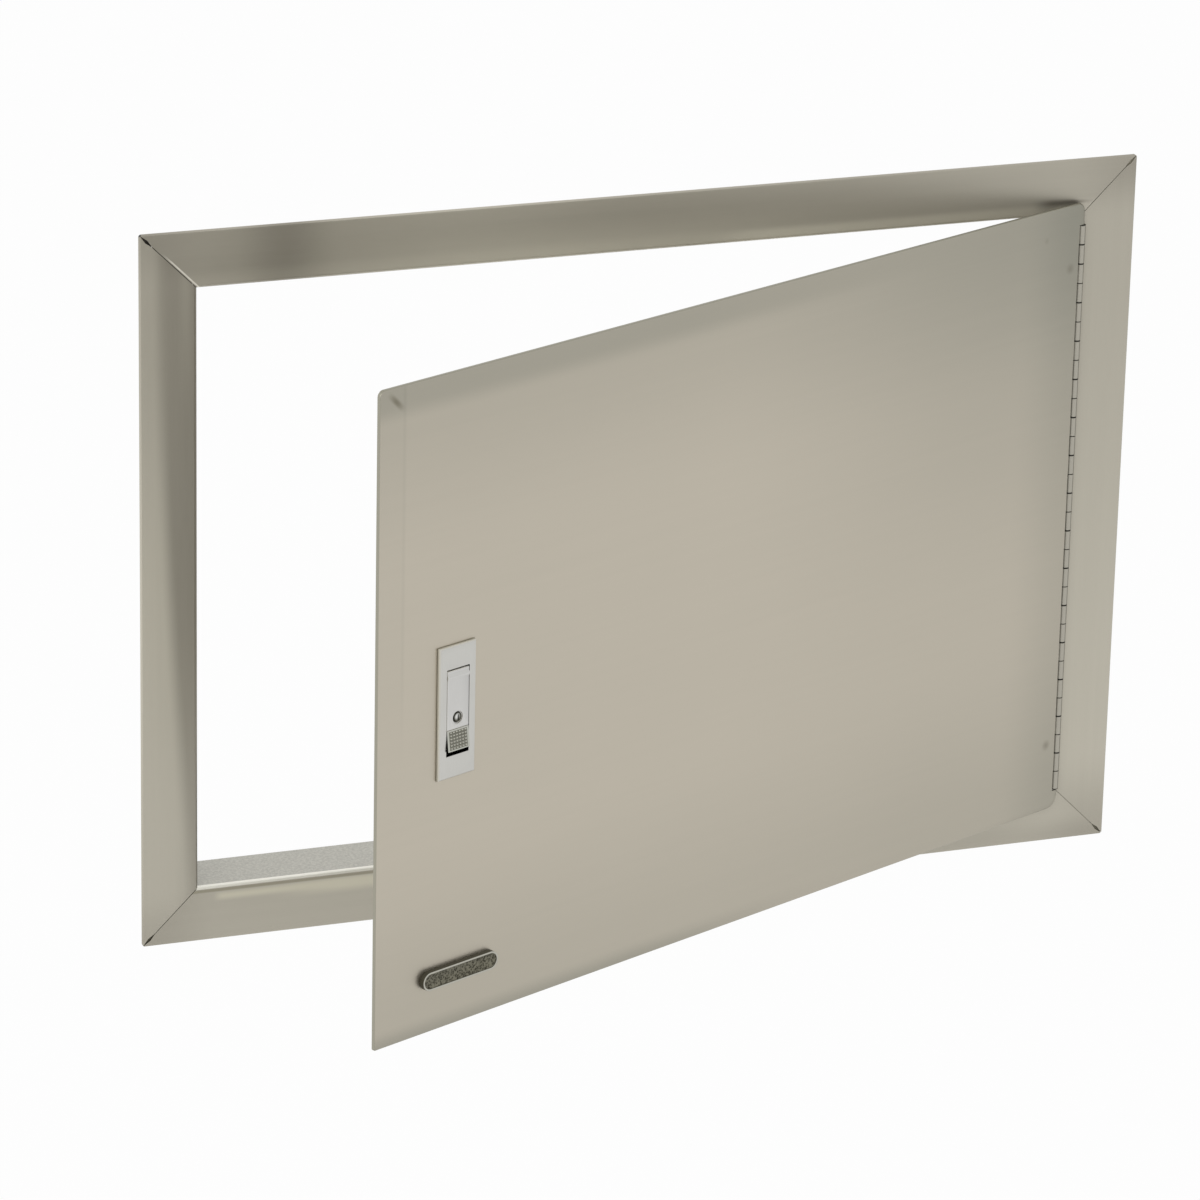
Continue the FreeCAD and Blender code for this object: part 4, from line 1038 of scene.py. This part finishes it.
def cutPad(pad):
    # Upright slots turn the pad's ribs into rows of small blocks
    deselectAll()
    start = -(padGrid["columns"] / 2) * padGrid["pitch"]
    bpy.ops.mesh.primitive_cube_add(size=1)
    cutter = bpy.context.object
    cutter.name = "padCutter"
    shape = Matrix.Diagonal((padGrid["slot"], padGrid["slotDepth"], padGrid["slotLength"], 1))
    lean = Matrix.Rotation(-math.atan(padGrid["slope"]), 4, "X")
    face = padGrid["foot"] + padGrid["slope"] * padGrid["middle"]
    depth = face - padGrid["slotDepth"] / 2 - padGrid["bite"]
    place = Vector((start, depth, padGrid["low"] + padGrid["middle"]))
    cutter.data.transform(Matrix.Translation(place) @ lean @ shape)
    row = cutter.modifiers.new("row", "ARRAY")
    row.count = padGrid["columns"] + 1
    row.use_relative_offset = False
    row.use_constant_offset = True
    row.constant_offset_displace = (padGrid["pitch"], 0, 0)
    applyAll(cutter)
    setDown(cutter, latch)
    slots = pad.modifiers.new("slots", "BOOLEAN")
    slots.operation = "DIFFERENCE"
    slots.solver = "EXACT"
    slots.object = cutter
    applyAll(pad)
    bpy.data.objects.remove(cutter)


cutPad(pieces["thumbPad"])


def stretchPlate(piece):
    # The plate is a little longer in the photograph than its plain solid
    low, high = (toDoor(corner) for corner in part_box("badge"))
    middle = Matrix.Translation((low + high) / 2)
    longer = Matrix.Diagonal((plate["stretch"], 1, 1, 1))
    grow = Matrix.Translation((plate["shift"], 0, 0)) @ middle @ longer @ middle.inverted()
    fromDoor = Matrix.Translation(hinge) @ Matrix.Rotation(doorTurn, 4, "Z")
    piece.data.transform(fromDoor @ grow @ fromDoor.inverted())
    piece.data.update()


stretchPlate(pieces["barePlate"])

leafGive = 0.0012


def settleLeaf(piece):
    # The leaf spring gets a mesh of its own; how far it would yield towards the case's cover as the pad is pressed
    # is worked out but not used
    inward = -doorFront
    depths = [(vertex.co - latch).dot(inward) for vertex in piece.data.vertices]
    reach = max(depths) - min(depths)
    (reach - leafGive) / reach
    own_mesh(piece)


settleLeaf(pieces["padLeaf"])

coil = {
    "turns": 5,
    "wire": 0.00035,
    "radius": 0.00195,
    "wireSides": 14,
    "rings": 36,
    "shade": 50,
    "keep": 0.40,
}


def addCoil():
    # Round wire wound over the length of the plain spring
    corners = [toDoor(vertex.co) for vertex in nodes["bolt_spring"].data.vertices]
    low = Vector(min(corner[axis] for corner in corners) for axis in range(3))
    high = Vector(max(corner[axis] for corner in corners) for axis in range(3))
    middle = (low + high) / 2
    rise = high.x - low.x - 2 * coil["wire"]
    deselectAll()
    bpy.ops.mesh.primitive_circle_add(vertices=coil["wireSides"], radius=coil["wire"], fill_type="NGON")
    piece = bpy.context.object
    piece.name = "roundCoil"
    piece.data.transform(Matrix.Translation((0, 0, coil["radius"])))
    wind = piece.modifiers.new("wind", "SCREW")
    wind.axis = "X"
    wind.screw_offset = rise / coil["turns"]
    wind.iterations = coil["turns"]
    wind.steps = wind.render_steps = coil["rings"]
    wind.use_normal_calculate = True
    applyAll(piece)
    piece.data.transform(Matrix.Translation((low.x + coil["wire"], middle.y, middle.z)))
    setDown(piece, hinge)
    piece.data.materials.append(materials["springWire"])
    bpy.ops.object.shade_smooth_by_angle(angle=math.radians(coil["shade"]))
    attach(piece, "door")
    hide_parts("bolt_spring")
    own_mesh(piece)


addCoil()

cornerFill = {
    "radius": 0.00398,
    "thickness": 0.00118,
    "sides": 96,
    "edge": 0.00012,
    "inset": 0.004,
    "depth": 0.00001,
}


def addCornerWeld():
    # The weld that closes the fold's slit at the upper free corner
    deselectAll()
    bpy.ops.mesh.primitive_cylinder_add(
        vertices=cornerFill["sides"], radius=cornerFill["radius"], depth=cornerFill["thickness"])
    piece = bpy.context.object
    piece.name = "cornerWeld"
    piece.data.transform(Matrix.Rotation(math.radians(90), 4, "X"))
    edge = piece.modifiers.new("softEdge", "BEVEL")
    edge.width = cornerFill["edge"]
    edge.segments = softening["segments"]
    edge.limit_method = "ANGLE"
    applyAll(piece)
    inset = cornerFill["inset"]
    piece.data.transform(Matrix.Translation((skin["left"] + inset, cornerFill["depth"], skin["top"] - inset)))
    setDown(piece, hinge)
    piece.data.materials.append(materials["doorSteel"])
    bpy.ops.object.shade_smooth_by_angle(angle=math.radians(softening["shade"]))
    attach(piece, "door")


addCornerWeld()
print("stage 4: coil, weld and pad")


# Light and stage
studio = {
    "floorLevel": -1.1,
    "floorSize": 14.0,
    "floorDeep": (0.95, 0.95, 0.95),
    "floorPale": (0.99, 0.99, 0.99),
    "floorGrain": 40.0,
    "floorRough": 0.8,
    "floorShadow": 0.08,
    "world": 0.80,
    "lampPlace": (-2.2, -3.0, 2.4),
    "lampSize": 2.4,
    "lampPower": 30,
}


def addWorld():
    # Rays that see the background find white, and the rest a plain level
    world = bpy.data.worlds.new("studio")
    world.use_nodes = True
    bpy.context.scene.world = world
    tree = world.node_tree
    tree.nodes.clear()
    path = tree.nodes.new("ShaderNodeLightPath")
    strength = None
    for ray in ("Is Camera Ray", "Is Glossy Ray", "Is Transmission Ray"):
        seen = tree.nodes.new("ShaderNodeMath")
        seen.operation = "MAXIMUM"
        seen.inputs[1].default_value = studio["world"]
        tree.links.new(path.outputs[ray], seen.inputs[0])
        if strength:
            tree.links.new(strength, seen.inputs[1])
        strength = seen.outputs[0]
    paper = tree.nodes.new("ShaderNodeBackground")
    paper.inputs["Color"].default_value = (1, 1, 1, 1)
    output = tree.nodes.new("ShaderNodeOutputWorld")
    tree.links.new(strength, paper.inputs["Strength"])
    tree.links.new(paper.outputs[0], output.inputs["Surface"])


def addFloor():
    deselectAll()
    bpy.ops.mesh.primitive_plane_add(size=studio["floorSize"], location=(0, 0, studio["floorLevel"]))
    floor = bpy.context.object
    floor.name = "studioFloor"
    finish = Finish("floorPaper")
    camera = finish.add("ShaderNodeLightPath", {}, {}, "Is Camera Ray")
    glossy = finish.add("ShaderNodeLightPath", {}, {}, "Is Glossy Ray")
    seen = camera.larger(glossy) * (1 - studio["floorShadow"])
    fibre = finish.noise(finish.place, studio["floorGrain"])
    finish.use(
        colour=finish.mix(fibre, studio["floorDeep"], studio["floorPale"]), rough=studio["floorRough"])
    glow = finish.add("ShaderNodeEmission", {}, {"Color": (1, 1, 1, 1), "Strength": 1.0})
    shader = Wire(finish, finish.shader.outputs[0])
    blend = finish.add("ShaderNodeMixShader", {}, {0: seen, 1: shader, 2: glow})
    finish.tree.links.new(blend.socket, finish.tree.nodes["Material Output"].inputs["Surface"])
    floor.data.materials.append(finish.material)


def addLamp():
    data = bpy.data.lights.new("keyLamp", "AREA")
    data.size = studio["lampSize"]
    data.energy = studio["lampPower"]
    lamp = bpy.data.objects.new("keyLamp", data)
    lamp.location = studio["lampPlace"]
    lamp.rotation_euler = (-lamp.location).to_track_quat("-Z", "Y").to_euler()
    bpy.context.collection.objects.link(lamp)


addWorld()
addFloor()
addLamp()
bpy.context.scene.view_settings.view_transform = "Standard"
print("stage 5: light and stage")
